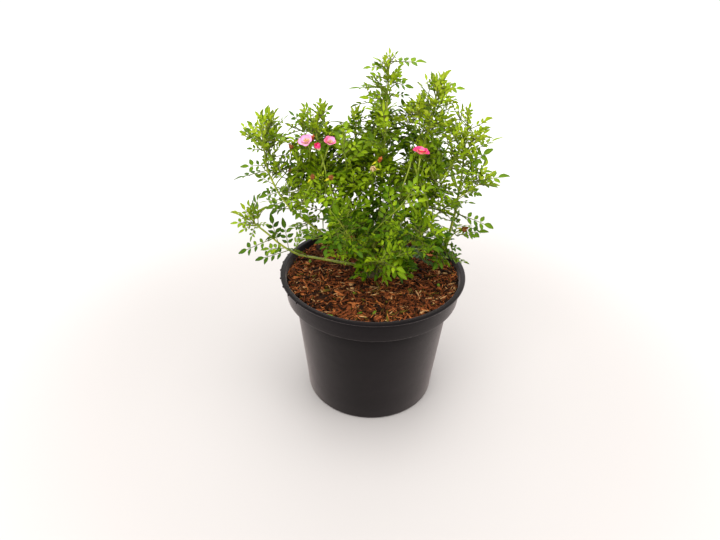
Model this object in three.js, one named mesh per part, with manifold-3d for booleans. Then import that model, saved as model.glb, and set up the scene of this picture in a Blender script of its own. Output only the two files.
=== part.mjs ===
// A rose bush in its nursery pot: pot, potting soil, bark mulch, a short woody crown, slender canes
// and uneven masses of foliage. Millimetres, +Z up, +X to the right, +Y to the back.
// The origin is the centre of the pot's flat underside.
import * as THREE from "three";
import { mergeVertices } from "three/addons/utils/BufferGeometryUtils.js";
import Module from "manifold-3d";

const wasm = await Module();
wasm.setup();

// ---- Sizes ----

const GAP = 0.3; // clearance between solids that meet

const POT = {
  height: 145,
  lipRadius: 95,
  lipHeight: 2.8,
  lipEdge: 0.9,
  collarTopRadius: 91.1,
  collarBottomRadius: 89.4,
  collarHeight: 21.5,
  bodyTopRadius: 80.9,
  baseRadius: 69.5,
  footEdge: 3,
  wall: 1.4,
  floor: 2.4,
  segments: 36,
};
const DRAIN = { count: 6, ringRadius: 54, radius: 5.5, sides: 8 };
const FILL = { mulchEdge: 136, mulchTop: 138.6, moundRadius: 60, flatRadius: 16 };
const CROWN = { flareRadius: 13, waistRadius: 8.5, topRadius: 9.5, height: 14, segments: 14 };
const CANE = { sides: 5, stepLength: 13, footRing: 9, footDepth: 5, smallestPiece: 45 };
const MASS = { detail: 2, uneven: 0.13, lobeWidth: 0.07, smallestShare: 0.2, ease: 0.2 };

// Canes, each a curve from the crown to a tip. foot is the compass angle on the crown, leave and arrive
// are the slopes at the foot and the tip in degrees, and radius is the thickness at each end.
const CANES = [
  { name: "cane_tall", foot: 95, tip: [8, 5, 348], leave: 84, arrive: 90, radius: [2, 1] },
  { name: "cane_right_spire", foot: 40, tip: [48, 9, 325], leave: 78, arrive: 84, radius: [1.9, 1] },
  { name: "cane_right_shoulder", foot: 10, tip: [84, 2, 300], leave: 58, arrive: 76, radius: [1.8, 1] },
  { name: "cane_right_side", foot: -15, tip: [100, -6, 246], leave: 48, arrive: 35, radius: [1.6, 0.9] },
  { name: "cane_left_shoulder", foot: 182, tip: [-103, 0, 290], leave: 58, arrive: 60, radius: [1.8, 1] },
  { name: "cane_left_crown", foot: 150, tip: [-57, 10, 300], leave: 66, arrive: 84, radius: [1.8, 1] },
  { name: "cane_centre_crown", foot: 120, tip: [-20, 15, 298], leave: 76, arrive: 88, radius: [1.8, 1] },
  { name: "cane_front_left", foot: 235, tip: [-32, -62, 232], leave: 66, arrive: 55, radius: [1.6, 0.9] },
  { name: "cane_front_right", foot: 300, tip: [46, -58, 224], leave: 58, arrive: 48, radius: [1.7, 0.9] },
  { name: "cane_front", foot: 268, tip: [6, -66, 196], leave: 55, arrive: 42, radius: [1.4, 0.8] },
  { name: "cane_back_left", foot: 135, tip: [-54, 66, 282], leave: 62, arrive: 72, radius: [1.8, 1] },
  { name: "cane_back", foot: 85, tip: [-2, 84, 262], leave: 60, arrive: 66, radius: [1.8, 1] },
  { name: "cane_back_right", foot: 55, tip: [52, 68, 286], leave: 60, arrive: 74, radius: [1.8, 1] },
];

// The two low canes lie over the mulch and turn up at a bend, so each is a runner and a riser.
const BENT_CANES = [
  {
    name: "cane_left",
    foot: 190,
    bend: [-77, 15, 151],
    tip: [-128, 21, 190],
    leave: 4,
    bendSlope: 3,
    riseSlope: 22,
    arrive: 38,
    radius: [1.9, 1.7, 1.1],
  },
  {
    name: "cane_right",
    foot: 22,
    bend: [80, 32, 166],
    tip: [88, 28, 272],
    leave: 12,
    bendSlope: 14,
    riseSlope: 62,
    arrive: 86,
    radius: [2, 1.8, 1],
  },
];

// Foliage, each an uneven ball about a centre, with its half sizes and the tips that it reaches out to.
const MASSES = [
  {
    name: "foliage_top",
    centre: [8, 5, 318],
    size: [19, 19, 30],
    tips: [[10, 5, 362], [-28, 8, 328], [-16, -2, 347], [43, 6, 349], [32, 14, 330]],
  },
  {
    name: "foliage_right_spire",
    centre: [48, 9, 302],
    size: [22, 22, 30],
    tips: [[41, 10, 341], [56, 8, 342], [76, 12, 326]],
  },
  {
    name: "foliage_right_shoulder",
    centre: [84, 3, 286],
    size: [20, 24, 26],
    tips: [[84, 2, 319], [105, 0, 292], [114, 4, 289]],
  },
  {
    name: "foliage_right_side",
    centre: [92, -4, 244],
    size: [21, 27, 22],
    tips: [[108, -8, 267], [123, -5, 254], [115, 8, 241]],
  },
  {
    name: "foliage_right_low",
    centre: [78, 4, 200],
    size: [22, 26, 22],
    tips: [[118, 5, 191], [102, 10, 226]],
  },
  {
    name: "foliage_right_rim",
    centre: [74, -6, 162],
    size: [20, 18, 9],
    tips: [[97, 4, 153]],
  },
  {
    name: "foliage_left_shoulder",
    centre: [-101, 0, 284],
    size: [19, 23, 20],
    tips: [[-124, 0, 290], [-115, 3, 299], [-97, 0, 311], [-80, -3, 304], [-118, -4, 275]],
  },
  {
    name: "foliage_left_side",
    centre: [-95, -4, 249],
    size: [19, 21, 15],
    tips: [[-125, -5, 256], [-135, -5, 243], [-101, -6, 233]],
  },
  {
    name: "foliage_left_crown",
    centre: [-56, 8, 285],
    size: [23, 23, 24],
    tips: [[-68, 10, 314], [-54, 10, 315], [-41, 8, 313], [-79, 10, 303]],
  },
  {
    name: "foliage_centre_crown",
    centre: [-19, 12, 283],
    size: [20, 23, 24],
    tips: [[-22, 14, 311], [-9, 12, 304]],
  },
  {
    name: "foliage_left_tip",
    centre: [-130, 21, 193],
    size: [13, 14, 13],
    tips: [[-147, 22, 184], [-129, 20, 208]],
  },
  {
    name: "foliage_left_runner",
    centre: [-100, 20, 184],
    size: [19, 15, 13],
    tips: [[-115, 22, 215], [-87, 20, 196], [-120, 22, 172]],
  },
  {
    name: "foliage_left_hanging",
    centre: [-117, 20, 157],
    size: [13, 12, 7],
    tips: [[-143, 22, 147], [-126, 22, 140]],
  },
  {
    name: "foliage_heart",
    centre: [-6, -8, 240],
    size: [38, 38, 40],
    tips: [],
  },
  {
    name: "foliage_left_body",
    centre: [-54, -6, 232],
    size: [32, 40, 34],
    tips: [[-84, -8, 218]],
  },
  {
    name: "foliage_right_body",
    centre: [42, -4, 238],
    size: [33, 40, 40],
    tips: [],
  },
  {
    name: "foliage_front_left",
    centre: [-30, -48, 212],
    size: [34, 28, 30],
    tips: [[-42, -76, 226]],
  },
  {
    name: "foliage_front_right",
    centre: [36, -48, 208],
    size: [34, 28, 28],
    tips: [[52, -78, 224]],
  },
  {
    name: "foliage_foot_front",
    centre: [12, -24, 164],
    size: [40, 18, 15],
    tips: [[15, -35, 147], [-22, -32, 150], [44, -30, 168]],
  },
  {
    name: "foliage_foot_back",
    centre: [-2, 30, 176],
    size: [44, 20, 18],
    tips: [],
  },
  {
    name: "foliage_back_left",
    centre: [-48, 54, 244],
    size: [38, 34, 42],
    tips: [[-62, 70, 292], [-86, 64, 258]],
  },
  {
    name: "foliage_back_right",
    centre: [46, 54, 248],
    size: [38, 34, 42],
    tips: [[58, 70, 298], [88, 60, 262]],
  },
  {
    name: "foliage_back",
    centre: [-2, 82, 226],
    size: [42, 24, 38],
    tips: [[-4, 98, 270], [-20, 112, 232], [22, 110, 214]],
  },
  {
    name: "foliage_back_crown",
    centre: [2, 44, 288],
    size: [32, 24, 24],
    tips: [[14, 52, 318], [-16, 54, 312]],
  },
];

// ---- Materials ----

const makeMaterial = (color, roughness) =>
  new THREE.MeshStandardMaterial({ color, roughness, metalness: 0, flatShading: true });
const MATERIALS = {
  pot: () => makeMaterial(0x3f393b, 0.42),
  soil: () => makeMaterial(0x2a1d16, 0.95),
  mulch: () => makeMaterial(0x6e3d22, 0.9),
  wood: () => makeMaterial(0x7a6a44, 0.8),
  cane: () => makeMaterial(0x8a9a3c, 0.6),
  foliage: () => makeMaterial(0x4f8a22, 0.65),
};

// ---- Solids ----

function toSolid(geometry) {
  const bare = geometry.clone();
  bare.deleteAttribute("normal");
  bare.deleteAttribute("uv");
  const merged = mergeVertices(bare, 1e-3);
  return new wasm.Manifold(
    new wasm.Mesh({
      numProp: 3,
      vertProperties: new Float32Array(merged.attributes.position.array),
      triVerts: new Uint32Array(merged.index.array),
    }),
  );
}

function toGeometry(solid) {
  const mesh = solid.getMesh();
  const geometry = new THREE.BufferGeometry();
  geometry.setAttribute("position", new THREE.BufferAttribute(mesh.vertProperties, mesh.numProp));
  geometry.setIndex(new THREE.BufferAttribute(mesh.triVerts, 1));
  geometry.computeVertexNormals();
  return geometry;
}

// A profile of [radius, height] pairs, turned about +Z. It starts and ends on the axis.
function turned(profile, segments) {
  const points = profile.map(([radius, height]) => new THREE.Vector2(radius, height));
  return toSolid(new THREE.LatheGeometry(points, segments).rotateX(Math.PI / 2));
}

// A seeded generator of numbers from 0 to 1.
function seeded(seed) {
  let state = seed;
  return () => {
    state = (state * 1664525 + 1013904223) % 4294967296;
    return state / 4294967296;
  };
}

// ---- Pot and its filling ----

const collarBottom = POT.height - POT.lipHeight - POT.collarHeight;
const ledge = collarBottom + POT.wall;

// The inside radius of the body below the ledge, and of the collar above it.
function bodyInside(height) {
  const share = height / collarBottom;
  return THREE.MathUtils.lerp(POT.baseRadius, POT.bodyTopRadius, share) - POT.wall;
}

function collarInside(height) {
  const share = (height - collarBottom) / POT.collarHeight;
  return THREE.MathUtils.lerp(POT.collarBottomRadius, POT.collarTopRadius, share) - POT.wall;
}

function potSolid() {
  const lipBottom = POT.height - POT.lipHeight;
  const profile = [
    [0, 0],
    [POT.baseRadius - POT.footEdge, 0],
    [POT.baseRadius, POT.footEdge],
    [POT.bodyTopRadius, collarBottom],
    [POT.collarBottomRadius, collarBottom],
    [POT.collarTopRadius, lipBottom],
    [POT.lipRadius - POT.lipEdge, lipBottom],
    [POT.lipRadius, lipBottom + POT.lipEdge],
    [POT.lipRadius, POT.height - POT.lipEdge],
    [POT.lipRadius - POT.lipEdge, POT.height],
    [collarInside(POT.height), POT.height],
    [collarInside(ledge), ledge],
    [bodyInside(ledge), ledge],
    [bodyInside(POT.floor), POT.floor],
    [0, POT.floor],
  ];
  let pot = turned(profile, POT.segments);
  for (let i = 0; i < DRAIN.count; i++) {
    const angle = (i / DRAIN.count) * Math.PI * 2;
    const hole = wasm.Manifold.cylinder(POT.floor + 2, DRAIN.radius, DRAIN.radius, DRAIN.sides).translate([
      DRAIN.ringRadius * Math.cos(angle),
      DRAIN.ringRadius * Math.sin(angle),
      -1,
    ]);
    pot = pot.subtract(hole);
  }
  return pot;
}

// The root ball ends level with the ledge, and the mulch lies on it across the whole collar.
function soilSolid() {
  const bottom = POT.floor + GAP;
  const profile = [
    [0, bottom],
    [bodyInside(bottom) - GAP, bottom],
    [bodyInside(ledge) - GAP, ledge],
    [0, ledge],
  ];
  return turned(profile, POT.segments);
}

function mulchSolid() {
  const bottom = ledge + GAP;
  const profile = [
    [0, bottom],
    [collarInside(bottom) - GAP, bottom],
    [collarInside(FILL.mulchEdge) - GAP, FILL.mulchEdge],
    [FILL.moundRadius, THREE.MathUtils.lerp(FILL.mulchEdge, FILL.mulchTop, 0.6)],
    [FILL.flatRadius, FILL.mulchTop],
    [0, FILL.mulchTop],
  ];
  return turned(profile, POT.segments);
}

// The woody base of the stems, flared at the mulch. grow widens it on every side.
function crownSolid(grow) {
  const bottom = FILL.mulchTop + GAP;
  const top = bottom + CROWN.height;
  const profile = [
    [0, bottom - grow],
    [CROWN.flareRadius + grow, bottom - grow],
    [CROWN.waistRadius + grow, bottom + CROWN.height * 0.35],
    [CROWN.topRadius + grow, top - 3],
    [CROWN.topRadius - 2.5 + grow, top + grow],
    [0, top + grow],
  ];
  return turned(profile, CROWN.segments);
}

// ---- Canes ----

function heading(azimuth, slope) {
  const flat = Math.cos(slope);
  return new THREE.Vector3(flat * Math.cos(azimuth), flat * Math.sin(azimuth), Math.sin(slope));
}

// A smooth curve between two points that leaves and arrives at the given slopes.
function sweepCurve(start, end, leave, arrive) {
  const reach = start.distanceTo(end) * 0.38;
  const azimuth = Math.atan2(end.y - start.y, end.x - start.x);
  const first = start.clone().addScaledVector(heading(azimuth, THREE.MathUtils.degToRad(leave)), reach);
  const last = end.clone().addScaledVector(heading(azimuth, THREE.MathUtils.degToRad(arrive)), -reach);
  return new THREE.CubicBezierCurve3(start, first, last, end);
}

// A closed tube of CANE.sides sides whose radius runs evenly from one end to the other.
function taperedTube(curve, startRadius, endRadius) {
  const steps = Math.max(4, Math.round(curve.getLength() / CANE.stepLength));
  const frames = curve.computeFrenetFrames(steps, false);
  const positions = [];
  const triangles = [];
  for (let i = 0; i <= steps; i++) {
    const centre = curve.getPointAt(i / steps);
    const radius = THREE.MathUtils.lerp(startRadius, endRadius, i / steps);
    for (let k = 0; k < CANE.sides; k++) {
      const turn = (k / CANE.sides) * Math.PI * 2;
      const point = centre
        .clone()
        .addScaledVector(frames.normals[i], radius * Math.cos(turn))
        .addScaledVector(frames.binormals[i], radius * Math.sin(turn));
      positions.push(point.x, point.y, point.z);
    }
  }
  for (let i = 0; i < steps; i++) {
    for (let k = 0; k < CANE.sides; k++) {
      const a = i * CANE.sides + k;
      const b = i * CANE.sides + ((k + 1) % CANE.sides);
      triangles.push(a, b, a + CANE.sides);
      triangles.push(b, b + CANE.sides, a + CANE.sides);
    }
  }
  const lastRing = steps * CANE.sides;
  for (let k = 1; k < CANE.sides - 1; k++) {
    triangles.push(0, k + 1, k);
    triangles.push(lastRing, lastRing + k, lastRing + k + 1);
  }
  const geometry = new THREE.BufferGeometry();
  geometry.setAttribute("position", new THREE.Float32BufferAttribute(positions, 3));
  geometry.setIndex(triangles);
  return toSolid(geometry);
}

function crownPoint(footAngle) {
  const angle = THREE.MathUtils.degToRad(footAngle);
  const height = FILL.mulchTop + GAP + CROWN.height - CANE.footDepth;
  const ring = CANE.footRing - 2;
  return new THREE.Vector3(ring * Math.cos(angle), ring * Math.sin(angle), height);
}

// ---- Foliage ----

// A closed ball of its own uneven shape about a centre. Each tip draws the nearest corner out to itself
// and lifts the corners round it, and grow widens the ball on every side.
function massSolid({ centre, size, tips }, seed, grow) {
  const random = seeded(seed);
  const waves = Array.from({ length: 5 }, () => ({
    along: new THREE.Vector3(random() - 0.5, random() - 0.5, random() - 0.5).normalize(),
    pace: 3 + 4 * random(),
    phase: Math.PI * 2 * random(),
  }));
  const ball = new THREE.IcosahedronGeometry(1, MASS.detail);
  ball.deleteAttribute("normal");
  ball.deleteAttribute("uv");
  const geometry = mergeVertices(ball, 1e-4);
  const corners = geometry.attributes.position;
  const middle = new THREE.Vector3(...centre);
  const rays = tips.map((tip) => new THREE.Vector3(...tip).sub(middle));
  const directions = Array.from({ length: corners.count }, (_, i) =>
    new THREE.Vector3().fromBufferAttribute(corners, i).normalize(),
  );
  const nearest = rays.map((ray) => {
    const aims = directions.map((direction) => direction.dot(ray) / ray.length());
    return aims.indexOf(Math.max(...aims));
  });
  directions.forEach((direction, i) => {
    const bumps = waves.reduce((sum, wave) => sum + Math.sin(wave.pace * direction.dot(wave.along) + wave.phase), 0);
    const round = 1 / Math.hypot(direction.x / size[0], direction.y / size[1], direction.z / size[2]);
    let reach = round * (1 + (MASS.uneven * bumps) / Math.sqrt(waves.length));
    for (const ray of rays) {
      const away = 1 - direction.dot(ray) / ray.length();
      const lift = 0.7 * Math.exp(-away / MASS.lobeWidth);
      reach = Math.max(reach, THREE.MathUtils.lerp(reach, ray.length(), lift));
    }
    const tip = nearest.indexOf(i);
    const point = tip < 0 ? direction.clone().multiplyScalar(reach) : rays[tip].clone();
    point.addScaledVector(point.clone().normalize(), grow).add(middle);
    corners.setXYZ(i, point.x, point.y, point.z);
  });
  return toSolid(geometry);
}

// ---- Assembly ----

const plant = new THREE.Group();
const keepOut = []; // solids, a gap wider than they are, that later ones are cut back from

function addMesh(name, solid, material) {
  const mesh = new THREE.Mesh(toGeometry(solid), material());
  mesh.name = name;
  plant.add(mesh);
}

function cutBack(solid) {
  return keepOut.reduce((rest, other) => rest.subtract(other), solid);
}

function piecesOf(solid, smallest) {
  return solid
    .decompose()
    .filter((piece) => piece.volume() > smallest)
    .sort((a, b) => a.boundingBox().min[2] - b.boundingBox().min[2]);
}

function addPot() {
  addMesh("pot", potSolid(), MATERIALS.pot);
  addMesh("potting_soil", soilSolid(), MATERIALS.soil);
  addMesh("bark_mulch", mulchSolid(), MATERIALS.mulch);
  addMesh("crown_stem", crownSolid(0), MATERIALS.wood);
  const top = POT.height + GAP;
  keepOut.push(wasm.Manifold.cylinder(top, POT.lipRadius + GAP, POT.lipRadius + GAP, POT.segments));
  keepOut.push(crownSolid(GAP));
}

function addMasses() {
  MASSES.forEach((mass, i) => {
    const whole = massSolid(mass, 17 + 31 * i, 0);
    const pieces = piecesOf(cutBack(whole), whole.volume() * MASS.smallestShare);
    const largest = pieces.reduce((best, piece) => (piece.volume() > best.volume() ? piece : best));
    addMesh(mass.name, largest.simplify(MASS.ease), MATERIALS.foliage);
    keepOut.push(massSolid(mass, 17 + 31 * i, GAP));
  });
}

// A cane shows as one piece below each mass that it passes through.
function addCane(name, curve, startRadius, endRadius) {
  const pieces = piecesOf(cutBack(taperedTube(curve, startRadius, endRadius)), CANE.smallestPiece);
  pieces.forEach((piece, i) => addMesh(i === 0 ? name : `${name}_upper${i}`, piece, MATERIALS.cane));
  keepOut.push(taperedTube(curve, startRadius + GAP, endRadius + GAP));
}

function addCanes() {
  // The pot's own hollow is open to the canes, which lie above the mulch.
  keepOut[0] = wasm.Manifold.cylinder(FILL.mulchTop + GAP, POT.lipRadius, POT.lipRadius, POT.segments);
  for (const cane of BENT_CANES) {
    const bend = new THREE.Vector3(...cane.bend);
    const tip = new THREE.Vector3(...cane.tip);
    const runner = sweepCurve(crownPoint(cane.foot), bend, cane.leave, cane.bendSlope);
    const riser = sweepCurve(bend, tip, cane.riseSlope, cane.arrive);
    addCane(`${cane.name}_runner`, runner, cane.radius[0], cane.radius[1]);
    addCane(`${cane.name}_riser`, riser, cane.radius[1], cane.radius[2]);
  }
  for (const cane of CANES) {
    const curve = sweepCurve(crownPoint(cane.foot), new THREE.Vector3(...cane.tip), cane.leave, cane.arrive);
    addCane(cane.name, curve, cane.radius[0], cane.radius[1]);
  }
}

addPot();
addMasses();
addCanes();

export default plant;
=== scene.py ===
import math
import random

import bmesh
import bpy
import numpy as np
from mathutils import Matrix, Vector, noise
from mathutils.bvhtree import BVHTree


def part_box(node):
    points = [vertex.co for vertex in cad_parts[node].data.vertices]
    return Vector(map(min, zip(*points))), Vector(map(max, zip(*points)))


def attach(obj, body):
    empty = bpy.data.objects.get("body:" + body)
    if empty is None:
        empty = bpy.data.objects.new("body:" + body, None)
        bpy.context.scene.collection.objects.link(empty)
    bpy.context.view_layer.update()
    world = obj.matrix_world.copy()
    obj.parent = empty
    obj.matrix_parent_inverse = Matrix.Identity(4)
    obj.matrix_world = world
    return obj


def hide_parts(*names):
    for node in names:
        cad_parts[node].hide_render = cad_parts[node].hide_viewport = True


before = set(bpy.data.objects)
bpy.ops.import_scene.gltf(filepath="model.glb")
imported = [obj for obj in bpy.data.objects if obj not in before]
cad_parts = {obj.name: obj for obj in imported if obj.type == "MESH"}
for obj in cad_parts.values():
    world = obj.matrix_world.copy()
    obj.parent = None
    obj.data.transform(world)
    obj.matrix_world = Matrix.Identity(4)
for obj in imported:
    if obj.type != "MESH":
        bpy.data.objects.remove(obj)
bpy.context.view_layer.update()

scene = bpy.context.scene
up = Vector((0, 0, 1))


# materials

def tint(red, green, blue):
    # screen colour from 0 to 255 to the linear colour that sockets take
    def linear(c):
        c = c / 255
        return c / 12.92 if c <= 0.04045 else ((c + 0.055) / 1.055) ** 2.4
    return (linear(red), linear(green), linear(blue), 1.0)


class Wire:
    # a socket that can be used in sums
    def __init__(self, finish, socket):
        self.finish = finish
        self.socket = socket

    def maths(self, operation, first=None, second=0.0):
        first = self if first is None else first
        return self.finish.node("ShaderNodeMath", {"operation": operation}, {0: first, 1: second})

    def __add__(self, other):
        return self.maths("ADD", self, other)

    def __radd__(self, other):
        return self.maths("ADD", other, self)

    def __sub__(self, other):
        return self.maths("SUBTRACT", self, other)

    def __rsub__(self, other):
        return self.maths("SUBTRACT", other, self)

    def __mul__(self, other):
        return self.maths("MULTIPLY", self, other)

    def __rmul__(self, other):
        return self.maths("MULTIPLY", other, self)

    def __truediv__(self, other):
        return self.maths("DIVIDE", self, other)

    def __abs__(self):
        return self.maths("ABSOLUTE")


class Finish:
    # a material whose nodes are added one by one
    def __init__(self, name, roughness=0.5):
        self.material = bpy.data.materials.new(name)
        self.material.use_nodes = True
        self.tree = self.material.node_tree
        self.skin = self.tree.nodes["Principled BSDF"]
        self.skin.inputs["Roughness"].default_value = roughness

    def node(self, kind, settings, sockets, output=0):
        made = self.tree.nodes.new(kind)
        for key, value in settings.items():
            setattr(made, key, value)
        for key, value in sockets.items():
            if isinstance(value, Wire):
                self.tree.links.new(value.socket, made.inputs[key])
            else:
                made.inputs[key].default_value = value
        return Wire(self, made.outputs[output])

    def wear(self, socket, value):
        if isinstance(value, Wire):
            self.tree.links.new(value.socket, self.skin.inputs[socket])
        else:
            self.skin.inputs[socket].default_value = value

    def place(self):
        return self.node("ShaderNodeTexCoord", {}, {}, "Object")

    def grain(self, scale, detail=3.0, roughness=0.6, vector=None):
        sockets = {"Scale": scale, "Detail": detail, "Roughness": roughness}
        sockets["Vector"] = vector or self.place()
        return self.node("ShaderNodeTexNoise", {}, sockets, "Fac")

    def stretched(self, scale, vector=None):
        sockets = {"Vector": vector or self.place(), "Scale": scale}
        return self.node("ShaderNodeMapping", {}, sockets)

    def range(self, value, low, high, toLow=0.0, toHigh=1.0):
        sockets = {"Value": value, "From Min": low, "From Max": high, "To Min": toLow, "To Max": toHigh}
        return self.node("ShaderNodeMapRange", {"interpolation_type": "SMOOTHSTEP"}, sockets)

    def mix(self, share, first, second):
        sockets = {"Factor": share, 6: first, 7: second}
        return self.node("ShaderNodeMix", {"data_type": "RGBA"}, sockets, 2)

    def blend(self, value, low, high, first, second):
        # base colour from one tint to another while value goes from low to high
        self.wear("Base Color", self.mix(self.range(value, low, high), tint(*first), tint(*second)))

    def bump(self, height, strength, distance):
        sockets = {"Height": height, "Strength": strength, "Distance": distance}
        self.wear("Normal", self.node("ShaderNodeBump", {}, sockets))


# meshes

def addPiece(name, mesh, nodes, finishes, smooth=True):
    piece = bpy.data.objects.new(name, mesh)
    scene.collection.objects.link(piece)
    for finish in finishes:
        mesh.materials.append(finish.material)
    if smooth:
        mesh.shade_smooth()
    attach(piece, "root")
    if nodes:
        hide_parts(*nodes)
    return piece


def meshFrom(bm, name):
    mesh = bpy.data.meshes.new(name)
    bm.to_mesh(mesh)
    bm.free()
    return mesh


def metres(place):
    # a place given in millimetres
    return Vector([c * 0.001 for c in place])


def swung(first, second, degrees):
    # the first direction swung towards the second, which is at right angles to it
    angle = math.radians(degrees)
    return first * math.cos(angle) + second * math.sin(angle)


def wobble(rng, amount):
    # a random level step
    return Vector((rng.gauss(0, amount), rng.gauss(0, amount), 0))


def layMap(bm, shift, share=1.0):
    # a template's map: its X moved and its Y scaled about the middle, both kept from 0 to 1
    layer = bm.loops.layers.uv.verify()
    for face in bm.faces:
        for loop in face.loops:
            along, across = loop.vert.co.x + shift, loop.vert.co.y * share + 0.5
            loop[layer].uv = (min(1, max(0, along)), min(1, max(0, across)))


def spinProfile(profile, steps):
    # a closed solid turned about +Z from a profile that starts and ends on the axis
    bm = bmesh.new()
    rim = [bm.verts.new((radius, 0, height)) for radius, height in profile]
    edges = [bm.edges.new(pair) for pair in zip(rim, rim[1:])]
    bmesh.ops.spin(bm, geom=rim + edges, cent=(0, 0, 0), axis=(0, 0, 1), dvec=(0, 0, 0),
                   angle=math.tau, steps=steps, use_merge=True, use_duplicate=False)
    bmesh.ops.remove_doubles(bm, verts=bm.verts, dist=1e-6)
    bmesh.ops.recalc_face_normals(bm, faces=bm.faces)
    return bm


def bendOf(centre, radius, start, end, count):
    # points of a rounded corner, angles in degrees
    angles = [math.radians(start + (end - start) * i / count) for i in range(count + 1)]
    return [(centre[0] + radius * math.cos(a), centre[1] + radius * math.sin(a)) for a in angles]


def wallOf(foot, head, count):
    # points up a straight wall after its foot
    return [tuple(a + (b - a) * k / count for a, b in zip(foot, head)) for k in range(1, count + 1)]


def tubeMesh(name, runs, sides=0):
    # runs are (points, radii); each becomes a closed tube
    curve = bpy.data.curves.new(name, "CURVE")
    curve.dimensions = "3D"
    curve.bevel_depth = 1.0
    curve.bevel_resolution = sides
    curve.use_fill_caps = True
    for points, radii in runs:
        spline = curve.splines.new("POLY")
        spline.points.add(len(points) - 1)
        for spot, point, radius in zip(spline.points, points, radii):
            spot.co = (*point, 1.0)
            spot.radius = radius
    holder = bpy.data.objects.new(name, curve)
    scene.collection.objects.link(holder)
    mesh = bpy.data.meshes.new_from_object(holder.evaluated_get(bpy.context.evaluated_depsgraph_get()))
    bpy.data.objects.remove(holder)
    bpy.data.curves.remove(curve)
    return mesh


class Shape:
    # a small template, copied many times by joinCopies
    def __init__(self, bm):
        layer = bm.loops.layers.uv.verify()
        bm.verts.index_update()
        self.points = np.array([v.co for v in bm.verts])
        self.corners = np.array([loop.vert.index for face in bm.faces for loop in face.loops])
        self.sizes = np.array([len(face.verts) for face in bm.faces])
        self.uvs = np.array([loop[layer].uv for face in bm.faces for loop in face.loops])
        bm.free()


cellEdge = 0.06  # share of a map cell kept clear on each side


def joinCopies(name, shapes, copies, slotCount):
    # copies are (shape index, matrix, slot); each slot has its own cell in the map
    grid = math.ceil(math.sqrt(slotCount))
    points, corners, sizes, uvs, slots = [], [], [], [], []
    first = 0
    for index, shape in enumerate(shapes):
        chosen = [copy for copy in copies if copy[0] == index]
        if not chosen:
            continue
        turns = np.array([copy[1] for copy in chosen])
        marks = np.array([copy[2] for copy in chosen])
        count = len(chosen)
        moved = np.einsum("mij,nj->mni", turns[:, :3, :3], shape.points) + turns[:, None, :3, 3]
        points.append(moved.reshape(-1, 3))
        starts = first + len(shape.points) * np.arange(count)
        corners.append((shape.corners[None] + starts[:, None]).ravel())
        first += len(shape.points) * count
        sizes.append(np.tile(shape.sizes, count))
        slots.append(np.repeat(marks, len(shape.sizes)))
        cell = np.stack([marks % grid, marks // grid], 1)[:, None]
        uvs.append(((cell + cellEdge + (1 - 2 * cellEdge) * shape.uvs[None]) / grid).reshape(-1, 2))
    points, corners, sizes = np.concatenate(points), np.concatenate(corners), np.concatenate(sizes)
    mesh = bpy.data.meshes.new(name)
    mesh.vertices.add(len(points))
    mesh.vertices.foreach_set("co", points.astype(np.float32).ravel())
    mesh.loops.add(len(corners))
    mesh.loops.foreach_set("vertex_index", corners.astype(np.int32))
    mesh.polygons.add(len(sizes))
    starts = np.concatenate([[0], np.cumsum(sizes)[:-1]])
    mesh.polygons.foreach_set("loop_start", starts.astype(np.int32))
    mesh.polygons.foreach_set("material_index", np.concatenate(slots).astype(np.int32))
    for layerName in ("grain", "OFBake"):
        layer = mesh.uv_layers.new(name=layerName)
        layer.uv.foreach_set("vector", np.concatenate(uvs).astype(np.float32).ravel())
    mesh.update(calc_edges=True)
    mesh.validate()
    return mesh


def cellPlace(finish, slot, slotCount):
    # along and across a copy, each from 0 to 1, read from its cell in the map
    grid = math.ceil(math.sqrt(slotCount))
    place = finish.node("ShaderNodeUVMap", {"uv_map": "grain"}, {})
    along = finish.node("ShaderNodeSeparateXYZ", {}, {0: place}, "X")
    across = finish.node("ShaderNodeSeparateXYZ", {}, {0: place}, "Y")
    inner = 1 - 2 * cellEdge
    return (along * grid - slot % grid - cellEdge) / inner, (across * grid - slot // grid - cellEdge) / inner


def turned(origin, direction, normal, length, width, depth):
    # a matrix that lays a template's X along direction and its Z along normal
    x = direction.normalized()
    y = normal.cross(x).normalized()
    z = x.cross(y)
    rows = [[x[i] * length, y[i] * width, z[i] * depth, origin[i]] for i in range(3)]
    return np.array(rows + [[0, 0, 0, 1]])


# camera, light and floor

view = {
    "place": (-0.0132, -0.5086, 0.4630),
    "pitch": 32.16,
    "roll": 1.02,
    "lens": 29.0,
}


def addCamera():
    camera = bpy.data.objects.new("camera", bpy.data.cameras.new("camera"))
    camera.data.lens = view["lens"]
    camera.data.clip_start = 0.01
    look = Matrix.Rotation(math.radians(90 - view["pitch"]), 4, "X")
    roll = Matrix.Rotation(math.radians(view["roll"]), 4, "Z")
    camera.matrix_world = Matrix.Translation(view["place"]) @ look @ roll
    scene.collection.objects.link(camera)
    scene.camera = camera


studio = {
    "key": {"place": (-0.5, -0.9, 1.3), "size": 1.0, "power": 8.0},
    "fill": {"place": (1.2, -0.5, 0.9), "size": 1.0, "power": 4.0},
    "back": {"place": (0.1, 1.3, 1.1), "size": 1.4, "power": 6.0},
    "top": {"place": (0.0, 0.0, 1.7), "size": 1.0, "power": 9.0},
    "air": 1.05,
    "aim": (0, 0, 0.2),
    "floorSide": 8.0,
    "floorNearPaintedShade": (202, 197, 194),
    "floorFarPaintedLight": (255, 254, 253),
}


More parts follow.
